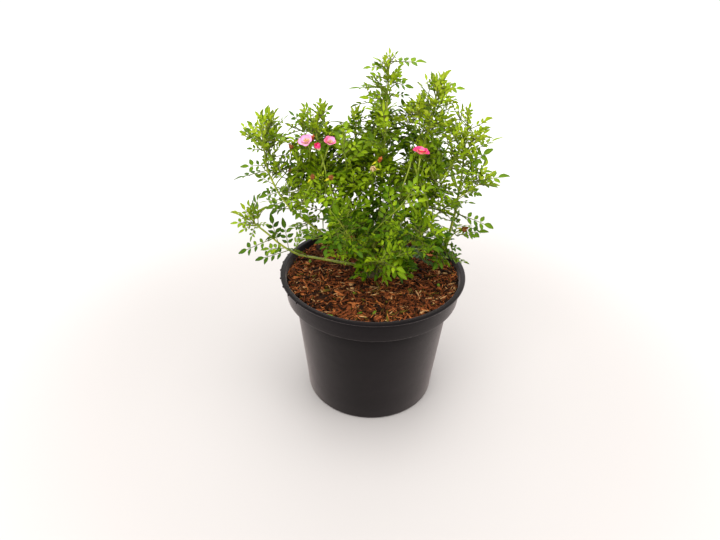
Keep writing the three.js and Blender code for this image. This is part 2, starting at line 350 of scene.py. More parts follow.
def addStudio():
    scene.view_settings.view_transform = "Standard"
    world = bpy.data.worlds.new("air")
    scene.world = world
    world.use_nodes = True
    background = world.node_tree.nodes["Background"]
    background.inputs["Color"].default_value = (1.0, 0.995, 0.99, 1.0)
    background.inputs["Strength"].default_value = studio["air"]
    for name in ("key", "fill", "back", "top"):
        spec = studio[name]
        lamp = bpy.data.lights.new(name, "AREA")
        lamp.shape = "SQUARE"
        lamp.size = spec["size"]
        lamp.energy = spec["power"]
        holder = bpy.data.objects.new(name, lamp)
        holder.location = spec["place"]
        aim = Vector(studio["aim"]) - Vector(spec["place"])
        holder.rotation_euler = aim.to_track_quat("-Z", "Y").to_euler()
        scene.collection.objects.link(holder)
    bm = bmesh.new()
    bmesh.ops.create_grid(bm, x_segments=1, y_segments=1, size=studio["floorSide"] / 2)
    mesh = meshFrom(bm, "floor")
    finish = Finish("paleFloor", 0.6)
    # floor colour darker near the pot and paler far off: painted shade near the pot and painted light where
    # the lamps fall off
    far = finish.node("ShaderNodeVectorMath", {"operation": "LENGTH"}, {0: finish.place()}, "Value")
    finish.blend(far, 0.25, 0.9, studio["floorNearPaintedShade"], studio["floorFarPaintedLight"])
    finish.wear("Specular IOR Level", 0.2)
    mesh.materials.append(finish.material)
    floor = bpy.data.objects.new("floor", mesh)
    scene.collection.objects.link(floor)


# pot

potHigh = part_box("pot")[1]
pot = {
    "lip": potHigh.x,
    "top": potHigh.z,
    "lipHeight": 0.0028,
    "lipEdge": 0.0012,
    "lipRound": 0.0014,
    "collarTop": 0.0911,
    "collarBottom": 0.0894,
    "collarHeight": 0.0215,
    "bodyTop": 0.0809,
    "base": 0.0695,
    "heel": 0.0026,
    "wall": 0.0014,
    "floor": 0.0024,
    "steps": 144,
    "drains": 6,
    "drainRing": 0.054,
    "drainRadius": 0.0055,
    "pips": 7,
    "firstPip": 163,
    "pipEvery": 9.5,
    "pipRadius": 0.0013,
    "dark": (2, 1, 2),
    "light": (10, 6, 9),
    "sheen": (255, 238, 234),
}


def potFinish():
    finish = Finish("charcoalPlastic", 0.4)
    cloud = finish.grain(14.0, 4.0)
    streak = finish.grain(1.0, 5.0, 0.7, finish.stretched((260.0, 260.0, 16.0)))
    finish.blend(cloud + streak * 0.4, 0.45, 0.95, pot["dark"], pot["light"])
    finish.wear("Roughness", finish.range(cloud, 0.3, 0.7, 0.36, 0.46))
    skin = finish.grain(2600.0, 2.0)
    ripple = finish.grain(36.0, 2.0)
    finish.bump(skin * 0.25 + ripple, 0.35, 0.0007)
    finish.wear("Specular IOR Level", 0.08)
    finish.wear("Sheen Weight", 0.38)
    finish.wear("Sheen Tint", tint(*pot["sheen"]))
    finish.wear("Sheen Roughness", 0.4)
    return finish


def potProfile(lipBottom, collarBottom):
    # up the outside, over the lip and down the inside
    wall, heel, edge, lipRound = pot["wall"], pot["heel"], pot["lipEdge"], pot["lipRound"]
    lip, top, base = pot["lip"], pot["top"], pot["base"]
    low, high, body = pot["collarBottom"], pot["collarTop"], pot["bodyTop"]
    ledge = collarBottom + wall
    profile = [(0, 0), (0.05, 0), (base - 0.003, 0)]
    profile += bendOf((base - 0.0024, heel), heel, -80, 0, 4)
    profile += wallOf((base, 0.004), (body, collarBottom - 0.002), 6)
    profile += bendOf((body + 0.0012, collarBottom - 0.0012), 0.0012, 180, 90, 3)
    profile += bendOf((low - 0.0008, collarBottom + 0.0008), 0.0008, -90, 0, 4)
    profile += wallOf((low, collarBottom + 0.001), (high, lipBottom - 0.001), 4)
    profile += bendOf((high + 0.0006, lipBottom - 0.0006), 0.0006, 180, 90, 3)
    profile += bendOf((lip - edge, lipBottom + edge), edge, -90, 0, 4)
    profile += bendOf((lip - lipRound, top - lipRound), lipRound, 0, 90, 4)
    profile += [(lip - 2 * lipRound, top - 0.0002)]
    profile += bendOf((high - wall + 0.001, top - 0.0012), 0.001, 90, 180, 3)
    profile += [(high - wall - 0.0004, top - 0.006), (low - wall, ledge), (body - wall, ledge)]
    profile += [(base - wall, pot["floor"]), (0.05, pot["floor"]), (0, pot["floor"])]
    return profile


def ringPlace(radius, degrees, height):
    # a place on a ring about the pot's axis
    angle = math.radians(degrees)
    return Matrix.Translation((radius * math.cos(angle), radius * math.sin(angle), height))


def cutDrains(shell):
    bm = bmesh.new()
    radius = pot["drainRadius"]
    for k in range(pot["drains"]):
        spot = ringPlace(pot["drainRing"], 360 * k / pot["drains"], 0.001)
        bmesh.ops.create_cone(bm, cap_ends=True, segments=28, radius1=radius, radius2=radius,
                              depth=0.006, matrix=spot)
    cutter = bpy.data.objects.new("drains", meshFrom(bm, "drains"))
    scene.collection.objects.link(cutter)
    cut = shell.modifiers.new("drains", "BOOLEAN")
    cut.object = cutter
    cut.operation = "DIFFERENCE"
    cut.solver = "EXACT"
    ready = shell.evaluated_get(bpy.context.evaluated_depsgraph_get())
    shell.data = bpy.data.meshes.new_from_object(ready)
    shell.modifiers.clear()
    bpy.data.objects.remove(cutter)


def addPips(mesh, height):
    # moulding pips under the lip's edge; they come after the drains, as the cut can drop them
    bm = bmesh.new()
    bm.from_mesh(mesh)
    for k in range(pot["pips"]):
        spot = ringPlace(pot["lip"] - 0.0004, pot["firstPip"] + pot["pipEvery"] * k, height)
        bmesh.ops.create_uvsphere(bm, u_segments=10, v_segments=6, radius=pot["pipRadius"], matrix=spot)
    bm.to_mesh(mesh)
    bm.free()


def addPot():
    lipBottom = pot["top"] - pot["lipHeight"]
    bm = spinProfile(potProfile(lipBottom, lipBottom - pot["collarHeight"]), pot["steps"])
    shell = addPiece("potShell", meshFrom(bm, "potShell"), ["pot"], [potFinish()])
    cutDrains(shell)
    addPips(shell.data, lipBottom + pot["pipRadius"])
    shell.data.shade_smooth()
    shell.data.set_sharp_from_angle(angle=math.radians(40))
    print("pot ready")


# soil and mulch

def crumbFinish(name, scale, dark, light):
    finish = Finish(name, 0.95)
    crumbs = finish.grain(scale, 6.0, 0.7)
    finish.blend(crumbs, 0.35, 0.7, dark, light)
    finish.bump(crumbs, 0.9, 0.002)
    return finish


def dressSoil():
    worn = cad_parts["potting_soil"].data.materials
    worn.clear()
    worn.append(crumbFinish("dampSoil", 420.0, (26, 17, 12), (74, 50, 34)).material)


mulch = {
    "edge": 0.1385,
    "top": 0.1388,
    "rough": 0.0020,
    "reach": 0.0884,
    "flat": 0.02,
    "rings": 26,
    "steps": 110,
    "bedBelow": 0.0022,
    "fibres": 9200,
    "chips": 330,
    "sticks": 11,
    "scraps": 9,
    "seed": 5,
    "tones": {
        "barkShadow": (40, 20, 8),
        "barkBrown": (92, 48, 22),
        "barkRed": (136, 70, 34),
        "barkOrange": (184, 106, 54),
        "barkTan": (218, 158, 104),
        "barkOlive": (104, 88, 24),
        "leafScrap": (104, 136, 30),
    },
    "toneShares": (26, 30, 24, 13, 5, 3, 0),
}


def bedHeight(x, y):
    # height of the mulch surface
    radius = math.hypot(x, y)
    share = min(1.0, max(0.0, (radius - mulch["flat"]) / (mulch["reach"] - mulch["flat"])))
    smooth = mulch["top"] + (mulch["edge"] - mulch["top"]) * share
    bumps = noise.noise(Vector((x, y, 0)) * 60) + 0.6 * noise.noise(Vector((x, y, 3)) * 150)
    return smooth + mulch["rough"] * bumps


def addBed():
    bedLow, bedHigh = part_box("bark_mulch")
    rings, reach, edge = mulch["rings"], mulch["reach"], mulch["edge"]
    profile = [(0, bedLow.z), (bedHigh.x * 0.99, bedLow.z), (reach, edge - 0.002)]
    profile += [(reach * (1 - k / rings), edge) for k in range(rings + 1)]
    bm = spinProfile(profile, mulch["steps"])
    for vert in bm.verts:
        if vert.co.z > edge - 0.0005:
            vert.co.z = bedHeight(vert.co.x, vert.co.y) - mulch["bedBelow"]
    finish = crumbFinish("bedShadow", 300.0, (20, 11, 7), (60, 33, 18))
    addPiece("mulchBed", meshFrom(bm, "mulchBed"), ["bark_mulch"], [finish])


def barkShape(rng, segments, ragged):
    # a splinter of bark along X, one unit long, one wide and one thick before it is scaled
    bm = bmesh.new()
    bmesh.ops.create_cube(bm, size=1.0)
    across = [e for e in bm.edges if abs(e.verts[0].co.x - e.verts[1].co.x) > 0.5]
    bmesh.ops.subdivide_edges(bm, edges=across, cuts=segments, use_grid_fill=True)
    bend, twist = rng.uniform(-0.3, 0.3), rng.uniform(-0.5, 0.5)
    for vert in bm.verts:
        x, y, z = vert.co
        taper = 1 - ragged * abs(2 * x) ** 2.5
        y = y * taper * rng.uniform(0.75, 1.2)
        z = z * taper * rng.uniform(0.7, 1.2)
        cos, sin = math.cos(twist * x), math.sin(twist * x)
        moved = x + rng.uniform(-0.05, 0.05)
        vert.co = (moved, y * cos - z * sin + bend * (x * x - 0.1), y * sin + z * cos + 0.15 * bend * x)
    bmesh.ops.recalc_face_normals(bm, faces=bm.faces)
    layMap(bm, 0.5, 0.5)
    return Shape(bm)


def barkFinishes():
    made = []
    count = len(mulch["tones"])
    for slot, (name, shade) in enumerate(mulch["tones"].items()):
        finish = Finish(name, 0.82)
        along, across = cellPlace(finish, slot, count)
        lines = finish.node("ShaderNodeCombineXYZ", {}, {0: along * 2.5, 1: across * 14, 2: float(slot)})
        streak = finish.grain(1.0, 4.0, 0.65, lines)
        dark = tint(*[c * 0.55 for c in shade])
        light = tint(*[min(255, c * 1.22 + 6) for c in shade])
        finish.wear("Base Color", finish.mix(finish.range(streak, 0.3, 0.7), dark, light))
        finish.wear("Specular IOR Level", 0.12)
        made.append(finish)
    return made


def scatterBark(rng, count, shapes, sizes, lift, slot=None):
    # bark lying on the bed, its sizes and lift in millimetres; a given slot replaces the drawn tone
    reach, copies = mulch["reach"], []
    while len(copies) < count:
        x, y = rng.uniform(-1, 1) * reach, rng.uniform(-1, 1) * reach
        length, width, depth = (rng.uniform(*size) * 0.001 for size in sizes)
        turn = rng.uniform(0, math.tau)
        half = Vector((math.cos(turn), math.sin(turn))) * length * 0.5
        if max((Vector((x, y)) + half).length, (Vector((x, y)) - half).length) > reach + 0.0002:
            continue
        slope = rng.gauss(0, 0.22)
        direction = Vector((math.cos(turn), math.sin(turn), math.sin(slope)))
        normal = up + wobble(rng, 0.3)
        origin = Vector((x, y, bedHeight(x, y) + rng.uniform(*lift) * 0.001))
        drawn = rng.choices(range(len(mulch["tones"])), mulch["toneShares"])[0]
        matrix = turned(origin, direction, normal, length, width, depth)
        copies.append((rng.randrange(len(shapes)), matrix, drawn if slot is None else slot))
    return copies


def addBark():
    rng = random.Random(mulch["seed"])
    fibres = [barkShape(rng, 2, 0.55) for _ in range(6)]
    chips = [barkShape(rng, 3, 0.35) for _ in range(5)]
    tones = list(mulch["tones"])
    olive, green = tones.index("barkOlive"), tones.index("leafScrap")
    thin = scatterBark(rng, mulch["fibres"], fibres, ((3.5, 12), (0.5, 1.4), (0.4, 1.0)), (-2.4, 1.8))
    broad = scatterBark(rng, mulch["chips"], chips, ((6, 15), (2.2, 5.5), (0.8, 1.8)), (-1.2, 1.4))
    sticks = scatterBark(rng, mulch["sticks"], fibres, ((10, 22), (1.7, 2.5), (1.3, 1.9)), (0.6, 1.8), olive)
    broad += scatterBark(rng, mulch["scraps"], chips, ((4, 7), (2, 3.5), (0.2, 0.4)), (1.2, 1.8), green)
    half = len(thin) // 2
    finishes = barkFinishes()
    for name, shapes, copies in (("barkFibresA", fibres, thin[:half]), ("barkFibresB", fibres, thin[half:]),
                                 ("barkChips", chips, broad), ("barkSticks", fibres, sticks)):
        mesh = joinCopies(name, shapes, copies, len(finishes))
        addPiece(name, mesh, ["bark_mulch"], finishes, False)
    print("mulch ready", len(thin) + len(broad), "pieces of bark")


# canes

# each cane: the angle of its foot, its tip in millimetres, the slopes in degrees at which it leaves
# and arrives, and its radius at foot and tip in millimetres; the low ones bend on their way
canes = {
    "tall": {"foot": 95, "tip": (8, 5, 345), "leave": 84, "arrive": 90, "radius": (1.6, 0.6)},
    "right_spire": {"foot": 40, "tip": (52, 8, 324), "leave": 78, "arrive": 84, "radius": (1.5, 0.6)},
    "right_shoulder": {"foot": 10, "tip": (83, 2, 297), "leave": 58, "arrive": 76, "radius": (1.45, 0.6)},
    "right_side": {"foot": -15, "tip": (100, -6, 246), "leave": 48, "arrive": 35, "radius": (1.3, 0.55)},
    "left_shoulder": {"foot": 182, "bend": (-80, -10, 217), "tip": (-101, -8, 287), "leave": 50,
                      "bendSlope": 48, "riseSlope": 52, "arrive": 96, "radius": (1.6, 0.7)},
    "left_crown": {"foot": 150, "tip": (-57, 10, 297), "leave": 66, "arrive": 84, "radius": (1.45, 0.6)},
    "centre_crown": {"foot": 120, "tip": (-20, 15, 294), "leave": 76, "arrive": 88, "radius": (1.45, 0.6)},
    "front_left": {"foot": 235, "tip": (-32, -62, 232), "leave": 66, "arrive": 55, "radius": (1.3, 0.55)},
    "front_right": {"foot": 300, "tip": (46, -58, 224), "leave": 58, "arrive": 48, "radius": (1.35, 0.55)},
    "front": {"foot": 268, "tip": (6, -66, 196), "leave": 55, "arrive": 42, "radius": (1.2, 0.5)},
    "back_left": {"foot": 135, "tip": (-54, 66, 286), "leave": 62, "arrive": 72, "radius": (1.45, 0.6)},
    "back": {"foot": 85, "tip": (-2, 84, 264), "leave": 60, "arrive": 66, "radius": (1.45, 0.6)},
    "back_right": {"foot": 55, "tip": (52, 68, 290), "leave": 60, "arrive": 74, "radius": (1.45, 0.6)},
    "left": {"foot": 190, "bend": (-77, 15, 151), "tip": (-123, 20, 185), "leave": 4, "bendSlope": 3,
             "riseSlope": 22, "arrive": 38, "radius": (1.6, 0.9)},
    "right": {"foot": 22, "bend": (80, 32, 166), "tip": (82, 10, 279), "leave": 12, "bendSlope": 14,
              "riseSlope": 66, "arrive": 98, "radius": (1.9, 0.8)},
}
caneLook = {
    "footRing": 0.007,
    "footHeight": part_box("crown_stem")[1].z - 0.005,
    "step": 0.0022,
    "nodeEvery": 0.0125,
    "nodeSwell": 0.16,
    "nodeLength": 0.0011,
    "wander": 0.0009,
    "wanderFrom": 0.02,
}
seeds = {"canes": 21, "leaves": 7, "blossom": 3}


def heading(azimuth, slope):
    slope = math.radians(slope)
    return Vector((math.cos(slope) * math.cos(azimuth), math.cos(slope) * math.sin(azimuth), math.sin(slope)))


def sweep(start, end, leave, arrive, step):
    # points of a smooth curve that leaves and arrives at the given slopes
    reach = (end - start).length * 0.38
    azimuth = math.atan2(end.y - start.y, end.x - start.x)
    first = start + heading(azimuth, leave) * reach
    last = end - heading(azimuth, arrive) * reach
    return bezier(start, first, last, end, step)


def bezier(start, first, last, end, step):
    count = max(3, round((end - start).length / step))
    points = []
    for k in range(count + 1):
        t = k / count
        s = 1 - t
        points.append(start * s ** 3 + first * (3 * s * s * t) + last * (3 * s * t * t) + end * t ** 3)
    return points


def canePath(spec):
    foot = ringPlace(caneLook["footRing"], spec["foot"], caneLook["footHeight"]).to_translation()
    tip = metres(spec["tip"])
    if "bend" not in spec:
        return sweep(foot, tip, spec["leave"], spec["arrive"], caneLook["step"])
    bend = metres(spec["bend"])
    runner = sweep(foot, bend, spec["leave"], spec["bendSlope"], caneLook["step"])
    return runner[:-1] + sweep(bend, tip, spec["riseSlope"], spec["arrive"], caneLook["step"])


def lengthsOf(points):
    # how far along the run each point is
    travelled = [0.0]
    for a, b in zip(points, points[1:]):
        travelled.append(travelled[-1] + (b - a).length)
    return travelled


def spotAlong(points, travelled, far):
    # the point of a run nearest to this length along it, and the way the run goes there
    k = min(range(len(points)), key=lambda i: abs(travelled[i] - far))
    ahead = (points[min(k + 1, len(points) - 1)] - points[max(k - 1, 0)]).normalized()
    return points[k], ahead


def caneFinish():
    finish = Finish("greenCane", 0.5)
    height = finish.node("ShaderNodeSeparateXYZ", {}, {0: finish.place()}, "Z")
    blotch = finish.grain(150.0, 4.0)
    streak = finish.grain(1.0, 4.0, 0.7, finish.stretched((900.0, 900.0, 90.0)))
    rise = finish.range(height + blotch * 0.02, 0.150, 0.172)
    wood = finish.mix(finish.range(streak, 0.35, 0.65), tint(96, 104, 32), tint(132, 136, 44))
    green = finish.mix(finish.range(blotch + streak * 0.3, 0.4, 0.85), tint(126, 146, 30), tint(176, 184, 54))
    finish.wear("Base Color", finish.mix(rise, wood, green))
    finish.wear("Roughness", finish.range(streak, 0.3, 0.7, 0.42, 0.58))
    finish.bump(streak + blotch * 0.5, 0.5, 0.0004)
    return finish


def growCanes():
    rng = random.Random(seeds["canes"])
    paths = {}
    finish = caneFinish()
    for name, spec in canes.items():
        points = canePath(spec)
        travelled = lengthsOf(points)
        seed = rng.uniform(0, 50)
        for point, far in zip(points, travelled):
            sway = caneLook["wander"] * min(1.0, far / caneLook["wanderFrom"])
            point.x += sway * noise.noise(Vector((far * 45, seed, 0)))
            point.y += sway * noise.noise(Vector((far * 45, seed, 9)))
        thick, thin = (r * 0.001 for r in spec["radius"])
        every = caneLook["nodeEvery"]
        radii = []
        for far in travelled:
            node = abs((far / every) % 1.0 - 0.5) * every
            swell = 1 + caneLook["nodeSwell"] * math.exp(-(node / caneLook["nodeLength"]) ** 2)
            radii.append((thick + (thin - thick) * far / travelled[-1]) * swell)
        paths[name] = (points, travelled, radii)
        whole = "cane_" + name
        parts = tuple(whole + part for part in ("_upper", "_runner", "_riser"))
        stoodFor = [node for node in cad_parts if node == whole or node.startswith(parts)]
        title = "cane" + name.title().replace("_", "")
        addPiece(title, tubeMesh(title, [(points, radii)], 2), stoodFor, [finish])
    print("canes ready", len(paths))
    return paths


# crown

crownStem = {"rings": 9, "steps": 20, "rough": 0.0013}


def addCrownStem():
    low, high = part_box("crown_stem")
    wide = high.x
    profile = [(0, low.z - 0.002), (wide * 0.92, low.z - 0.002)]
    for k in range(crownStem["rings"] + 1):
        t = k / crownStem["rings"]
        radius = wide * (0.94 - 0.34 * math.sin(min(1.0, t * 1.6) * math.pi / 2) + 0.08 * t)
        profile.append((radius, low.z + (high.z - low.z) * t * 0.96))
    profile += [(wide * 0.4, high.z), (0, high.z + 0.0004)]
    bm = spinProfile(profile, crownStem["steps"])
    for vert in bm.verts:
        flat = Vector((vert.co.x, vert.co.y, 0))
        knots = noise.noise(vert.co * 160) + 0.6 * noise.noise(vert.co * 420)
        vert.co += flat.normalized() * crownStem["rough"] * knots * min(1.0, flat.length / 0.004)
    finish = Finish("youngBarkAndShade", 0.8)
    grooves = finish.grain(1.0, 6.0, 0.7, finish.stretched((420.0, 420.0, 120.0)))
    # bark tones kept dark as painted shade for the foot of the crown; lighter on the ridges than in the
    # grooves
    finish.blend(grooves, 0.35, 0.65, (44, 34, 20), (92, 80, 44))
    finish.bump(grooves, 0.8, 0.001)
    addPiece("crownStump", meshFrom(bm, "crownStump"), ["crown_stem"], [finish])


# leaves

leafTones = {
    "leafShadow": (38, 63, 4),
    "leafDeep": (53, 83, 5),
    "leafDark": (72, 107, 6),
    "leafMiddle": (97, 130, 8),
    "leafGreen": (121, 151, 12),
    "leafFresh": (146, 174, 18),
    "leafBright": (171, 194, 34),
    "leafTip": (189, 208, 56),
    "leafBrown": (106, 78, 42),
    "leafYellow": (214, 206, 40),
}
toneSlots = {name: slot for slot, name in enumerate(leafTones)}
leafLook = {
    "rows": 6,
    "every": 0.0082,
    "shortest": 0.014,
    "shortestYoung": 0.009,
    "leafletFrom": 0.029,  # a longer leaf has leaflets no bigger than one this long
    "endLeafletFrom": 0.030,
    "places": {1: (0.62,), 2: (0.46, 0.80), 3: (0.32, 0.58, 0.84)},
    "threePairs": 0.026,
    "twoPairs": 0.015,
    "turn": 144.0,
    "tries": (0, 50, -50, 100, -100),
    "cuts": (1.0, 0.85, 0.7),
    "lowest": 0.1405,
    "slack": 0.0035,
    "caneSlack": 0.014,
    "clearMargin": 0.0015,
    "brownShare": 0.002,
    "stalkRadius": (0.0005, 0.00032),
    "stalkSteps": 4,
}
twigLook = {
    "step": 0.003,
    "tip": 0.00042,
    "widest": 0.00095,
    "front": 0.0009,
    "link": (0.0006, 0.00052, 0.00046),
    "linkFrom": 0.003,
    "shortest": 0.012,
}


def leafletShape(fold, curl, widest):
    # one leaflet along X: one unit long and about one wide before it is scaled, folded along its midrib
    rows = leafLook["rows"]
    bm = bmesh.new()
    bmesh.ops.create_grid(bm, x_segments=rows, y_segments=2, size=0.5)
    layMap(bm, 0.5)
    for vert in bm.verts:
        t, side = vert.co.x + 0.5, vert.co.y * 2
        half = 0.5 * math.sin(math.pi * t ** widest) ** 0.85 * (1.06 - 0.22 * t)
        row = round(t * rows)
        tooth = 1 + 0.07 * (row % 2) if abs(side) > 0.9 else 1
        y = side * half * tooth
        droop = curl * (t - 0.35) ** 2
        vert.co = (t + 0.03 * (row % 2) * abs(side), y, abs(y) * fold - droop - 0.12 * curl * y * y)
    bmesh.ops.remove_doubles(bm, verts=bm.verts, dist=1e-4)
    return Shape(bm)


def leafFinishes():
    made = []
    count = len(leafTones)
    for slot, (name, shade) in enumerate(leafTones.items()):
        finish = Finish(name, 0.5)
        along, across = cellPlace(finish, slot, count)
        side = abs(across - 0.5)
        rib = finish.range(side, 0.012, 0.05, 1.0, 0.0)
        slant = (along * 9 - side * 7).maths("FRACT")
        vein = finish.range(abs(slant - 0.5), 0.0, 0.13, 1.0, 0.0)
        base = tint(*shade)
        pale = tint(*[min(255, c * 1.2 + 14) for c in shade])
        deep = tint(*[c * 0.88 for c in shade])
        body = finish.mix(finish.range(along + side, 0.2, 1.1), base, deep)
        veined = finish.mix(vein * 0.22, body, pale)
        finish.wear("Base Color", finish.mix(rib * 0.5, veined, pale))
        finish.wear("Specular IOR Level", 0.12)
        made.append(finish)
    return made


# each mass: the piece it belongs to, the canes that feed it, its side shoots, tone, leaf length in metres
# and how upright its leaves are
masses = {
    "top": ("Top", ["tall"], 7, 4.7, 0.022, 0.25),
    "right_spire": ("Top", ["right_spire"], 14, 5.5, 0.024, 0.35),
    "right_shoulder": ("Right", ["right_shoulder", "right"], 8, 5.5, 0.026, 0.3),
    "right_side": ("Right", ["right_side", "right", "right_shoulder"], 4, 4.8, 0.028, 0.1),
    "right_low": ("Right", ["right", "right_side"], 0, 4.2, 0.030, 0.0),
    "right_rim": ("Right", ["right", "front_right"], 2, 3.0, 0.032, 0.0),
    "left_shoulder": ("Left", ["left_shoulder"], 9, 4.8, 0.024, 0.2),
    "left_side": ("Left", ["left_shoulder"], 5, 4.0, 0.028, 0.0),
    "left_crown": ("Left", ["left_crown"], 9, 4.8, 0.025, 0.3),
    "left_tip": ("Left", ["left"], 1, 4.5, 0.026, 0.1),
    "left_runner": ("Left", ["left"], 0, 3.6, 0.030, 0.0),
    "left_hanging": ("Left", ["left"], 0, 3.2, 0.030, 0.0),
    "centre_crown": ("Heart", ["centre_crown"], 5, 4.6, 0.024, 0.2),
    "heart": ("Heart", ["tall", "centre_crown", "left_crown", "right_spire"], 24, 4.1, 0.029, 0.1),
    "left_body": ("Body", ["left_shoulder", "left_crown", "front_left"], 20, 4.1, 0.029, 0.1),
    "right_body": ("Body", ["right_shoulder", "right_spire", "right_side"], 20, 4.4, 0.029, 0.1),
    "front_left": ("Front", ["front_left", "front"], 16, 3.1, 0.029, 0.1),
    "front_right": ("Front", ["front_right", "front"], 16, 3.4, 0.029, 0.1),
    "foot_front": ("Front", ["front", "front_left", "front_right"], 14, 2.7, 0.031, 0.0),
    "foot_back": ("Back", ["back", "back_left", "back_right"], 10, 2.4, 0.031, 0.0),
    "back_left": ("Back", ["back_left"], 17, 3.9, 0.030, 0.1),
    "back_right": ("Back", ["back_right"], 17, 3.9, 0.030, 0.1),
    "back": ("BackLow", ["back"], 16, 3.6, 0.030, 0.1),
    "back_crown": ("BackLow", ["back", "back_left", "back_right"], 9, 4.3, 0.026, 0.1),
}

# leaves that reach out to the far tips, mass by mass: foot and tip in millimetres, and tone
reaching = [
    ("top", [
        ((9, 4, 350), (10, 4, 363), 5.8), ((5, 3, 345), (-2, 2, 354), 5.2),
        ((11, 4, 352), (15, 2, 361), 5.2), ((8, 4, 352), (5, 3, 359), 5.2),
        ((10, 4, 349), (19, 0, 356), 5.0), ((5, 3, 349), (-6, 1, 355), 5.0),
        ((6, 4, 345), (-5, 3, 349), 4.4), ((11, 0, 341), (20, 0, 346), 4.8),
        ((4, 0, 338), (-8, 0, 342), 4.6), ((5, 0, 330), (-9, -6, 336), 4.4),
        ((7, 2, 324), (-10, 2, 322), 4.2), ((9, -4, 322), (17, -8, 331), 4.6),
        ((12, 8, 322), (28, 8, 321), 2.6), ((10, 4, 351), (42, 6, 350), 3.6),
        ((7, 3, 347), (-14, 5, 346), 3.4), ((6, 4, 330), (-28, 7, 328), 3.0),
        ((8, 6, 334), (31, 10, 329), 3.2), ((9, 1, 338), (25, 0, 337), 3.8),
        ((8, 4, 318), (-16, 0, 322), 4.4), ((8, 2, 300), (1, -26, 306), 4.8),
        ((9, 2, 288), (18, -26, 293), 4.2), ((8, 2, 276), (-3, -28, 283), 4.6),
        ((10, 3, 312), (17, -16, 321), 5.0), ((7, 3, 308), (-9, -18, 317), 4.8),
    ]),
    ("right_spire", [
        ((53, 7, 328), (76, 12, 329), 4.4), ((53, 8, 329), (56, 8, 342), 5.6),
        ((49, 8, 328), (50, 8, 340), 5.4), ((44, 8, 328), (41, 8, 341), 5.4),
        ((50, -2, 318), (61, -12, 325), 4.8), ((52, 6, 322), (63, 2, 331), 5.4),
        ((54, 4, 308), (68, -2, 311), 4.6), ((54, 2, 298), (66, -6, 301), 4.2),
    ]),
    ("right_shoulder", [((70, -2, 277), (57, -8, 287), 4.2), ((66, -4, 270), (73, -12, 285), 4.0)]),
    ("heart", [((10, -2, 288), (25, -10, 295), 4.0)]),
    ("left_crown", [((-58, 2, 281), (-75, -2, 287), 3.6), ((-58, 0, 273), (-74, -6, 277), 3.4)]),
    ("left_body", [((-50, -10, 216), (-67, -12, 221), 3.6), ((-48, -14, 208), (-64, -16, 211), 3.4)]),
    ("right_spire", [((53, 4, 316), (67, 0, 323), 5.0), ((50, 4, 316), (77, 6, 319), 4.2)]),
    ("right_shoulder", [((80, 1, 302), (82, 2, 318), 5.0), ((74, 3, 303), (69, 3, 317), 5.0)]),
    ("right_side", [((95, 0, 266), (102, 0, 277), 2.8)]),
    ("right_shoulder", [((84, 0, 282), (103, 0, 293), 5.6), ((86, 2, 272), (114, 4, 288), 4.8)]),
    ("right_side", [
        ((83, -4, 262), (104, -6, 279), 3.2), ((90, -3, 245), (126, -5, 254), 3.2),
        ((84, 2, 252), (111, 4, 253), 3.4), ((85, -2, 240), (101, -4, 229), 3.4),
        ((87, 4, 243), (116, 6, 239), 3.2),
    ]),
    ("right_low", [
        ((84, 6, 206), (124, 8, 192), 3.2), ((83, 6, 183), (116, 6, 191), 3.0),
        ((86, 0, 187), (104, 0, 187), 3.2), ((90, 2, 238), (99, 0, 228), 3.4),
        ((84, 18, 208), (71, 10, 213), 3.6), ((86, 20, 214), (100, 14, 215), 3.4),
    ]),
    ("right_rim", [((73, 2, 176), (90, 4, 166), 2.4), ((69, 0, 169), (92, 1, 155), 2.2)]),
    ("left_side", [
        ((-101, -3, 253), (-134, -5, 244), 2.6), ((-101, -3, 258), (-126, -5, 257), 2.8),
        ((-87, -4, 233), (-110, -6, 226), 2.8), ((-82, -2, 224), (-104, -4, 213), 2.6),
    ]),
    ("left_shoulder", [((-93, -2, 266), (-71, -4, 272), 3.6)]),
    ("left_side", [((-68, -4, 250), (-86, -4, 262), 3.2), ((-80, -1, 230), (-97, -4, 235), 3.0)]),
    ("left_runner", [((-50, -8, 206), (-69, -8, 206), 3.2), ((-50, -6, 194), (-70, -6, 190), 3.0)]),
    ("left_side", [
        ((-83, 0, 212), (-107, 0, 213), 2.8), ((-80, 0, 217), (-103, 0, 206), 2.6),
        ((-92, -3, 236), (-108, -3, 228), 2.8),
    ]),
    ("left_runner", [((-67, 4, 192), (-84, 4, 190), 2.6), ((-66, 4, 188), (-79, 4, 178), 2.8)]),
    ("left_tip", [
        ((-123, 14, 197), (-112, 8, 224), 2.6), ((-124, 20, 186), (-147, 21, 185), 4.6),
        ((-123, 20, 186), (-136, 20, 206), 5.2), ((-123, 18, 186), (-133, 6, 190), 4.2),
        ((-121, 19, 184), (-128, 12, 168), 3.4), ((-121, 19, 185), (-106, 14, 186), 4.4),
        ((-122, 19, 186), (-122, 16, 206), 4.4), ((-122, 20, 185), (-138, 14, 177), 4.2),
    ]),
    ("left_hanging", [((-106, 18, 168), (-148, 22, 145), 2.2), ((-88, 16, 156), (-130, 22, 137), 2.0)]),
    ("left_runner", [((-98, 16, 163), (-109, 20, 196), 1.8), ((-88, 14, 158), (-91, 18, 194), 1.8)]),
    ("left_crown", [
        ((-62, 6, 298), (-65, 10, 313), 4.2), ((-66, 6, 292), (-79, 10, 306), 2.6),
        ((-54, 5, 299), (-41, 8, 312), 3.4),
    ]),
    ("left_shoulder", [
        ((-96, 0, 292), (-97, 0, 310), 5.2), ((-103, 2, 285), (-116, 3, 299), 4.2),
        ((-92, -2, 293), (-79, -3, 305), 4.0), ((-104, 0, 280), (-124, 0, 289), 3.6),
        ((-103, -2, 272), (-118, -4, 275), 3.6),
    ]),
]

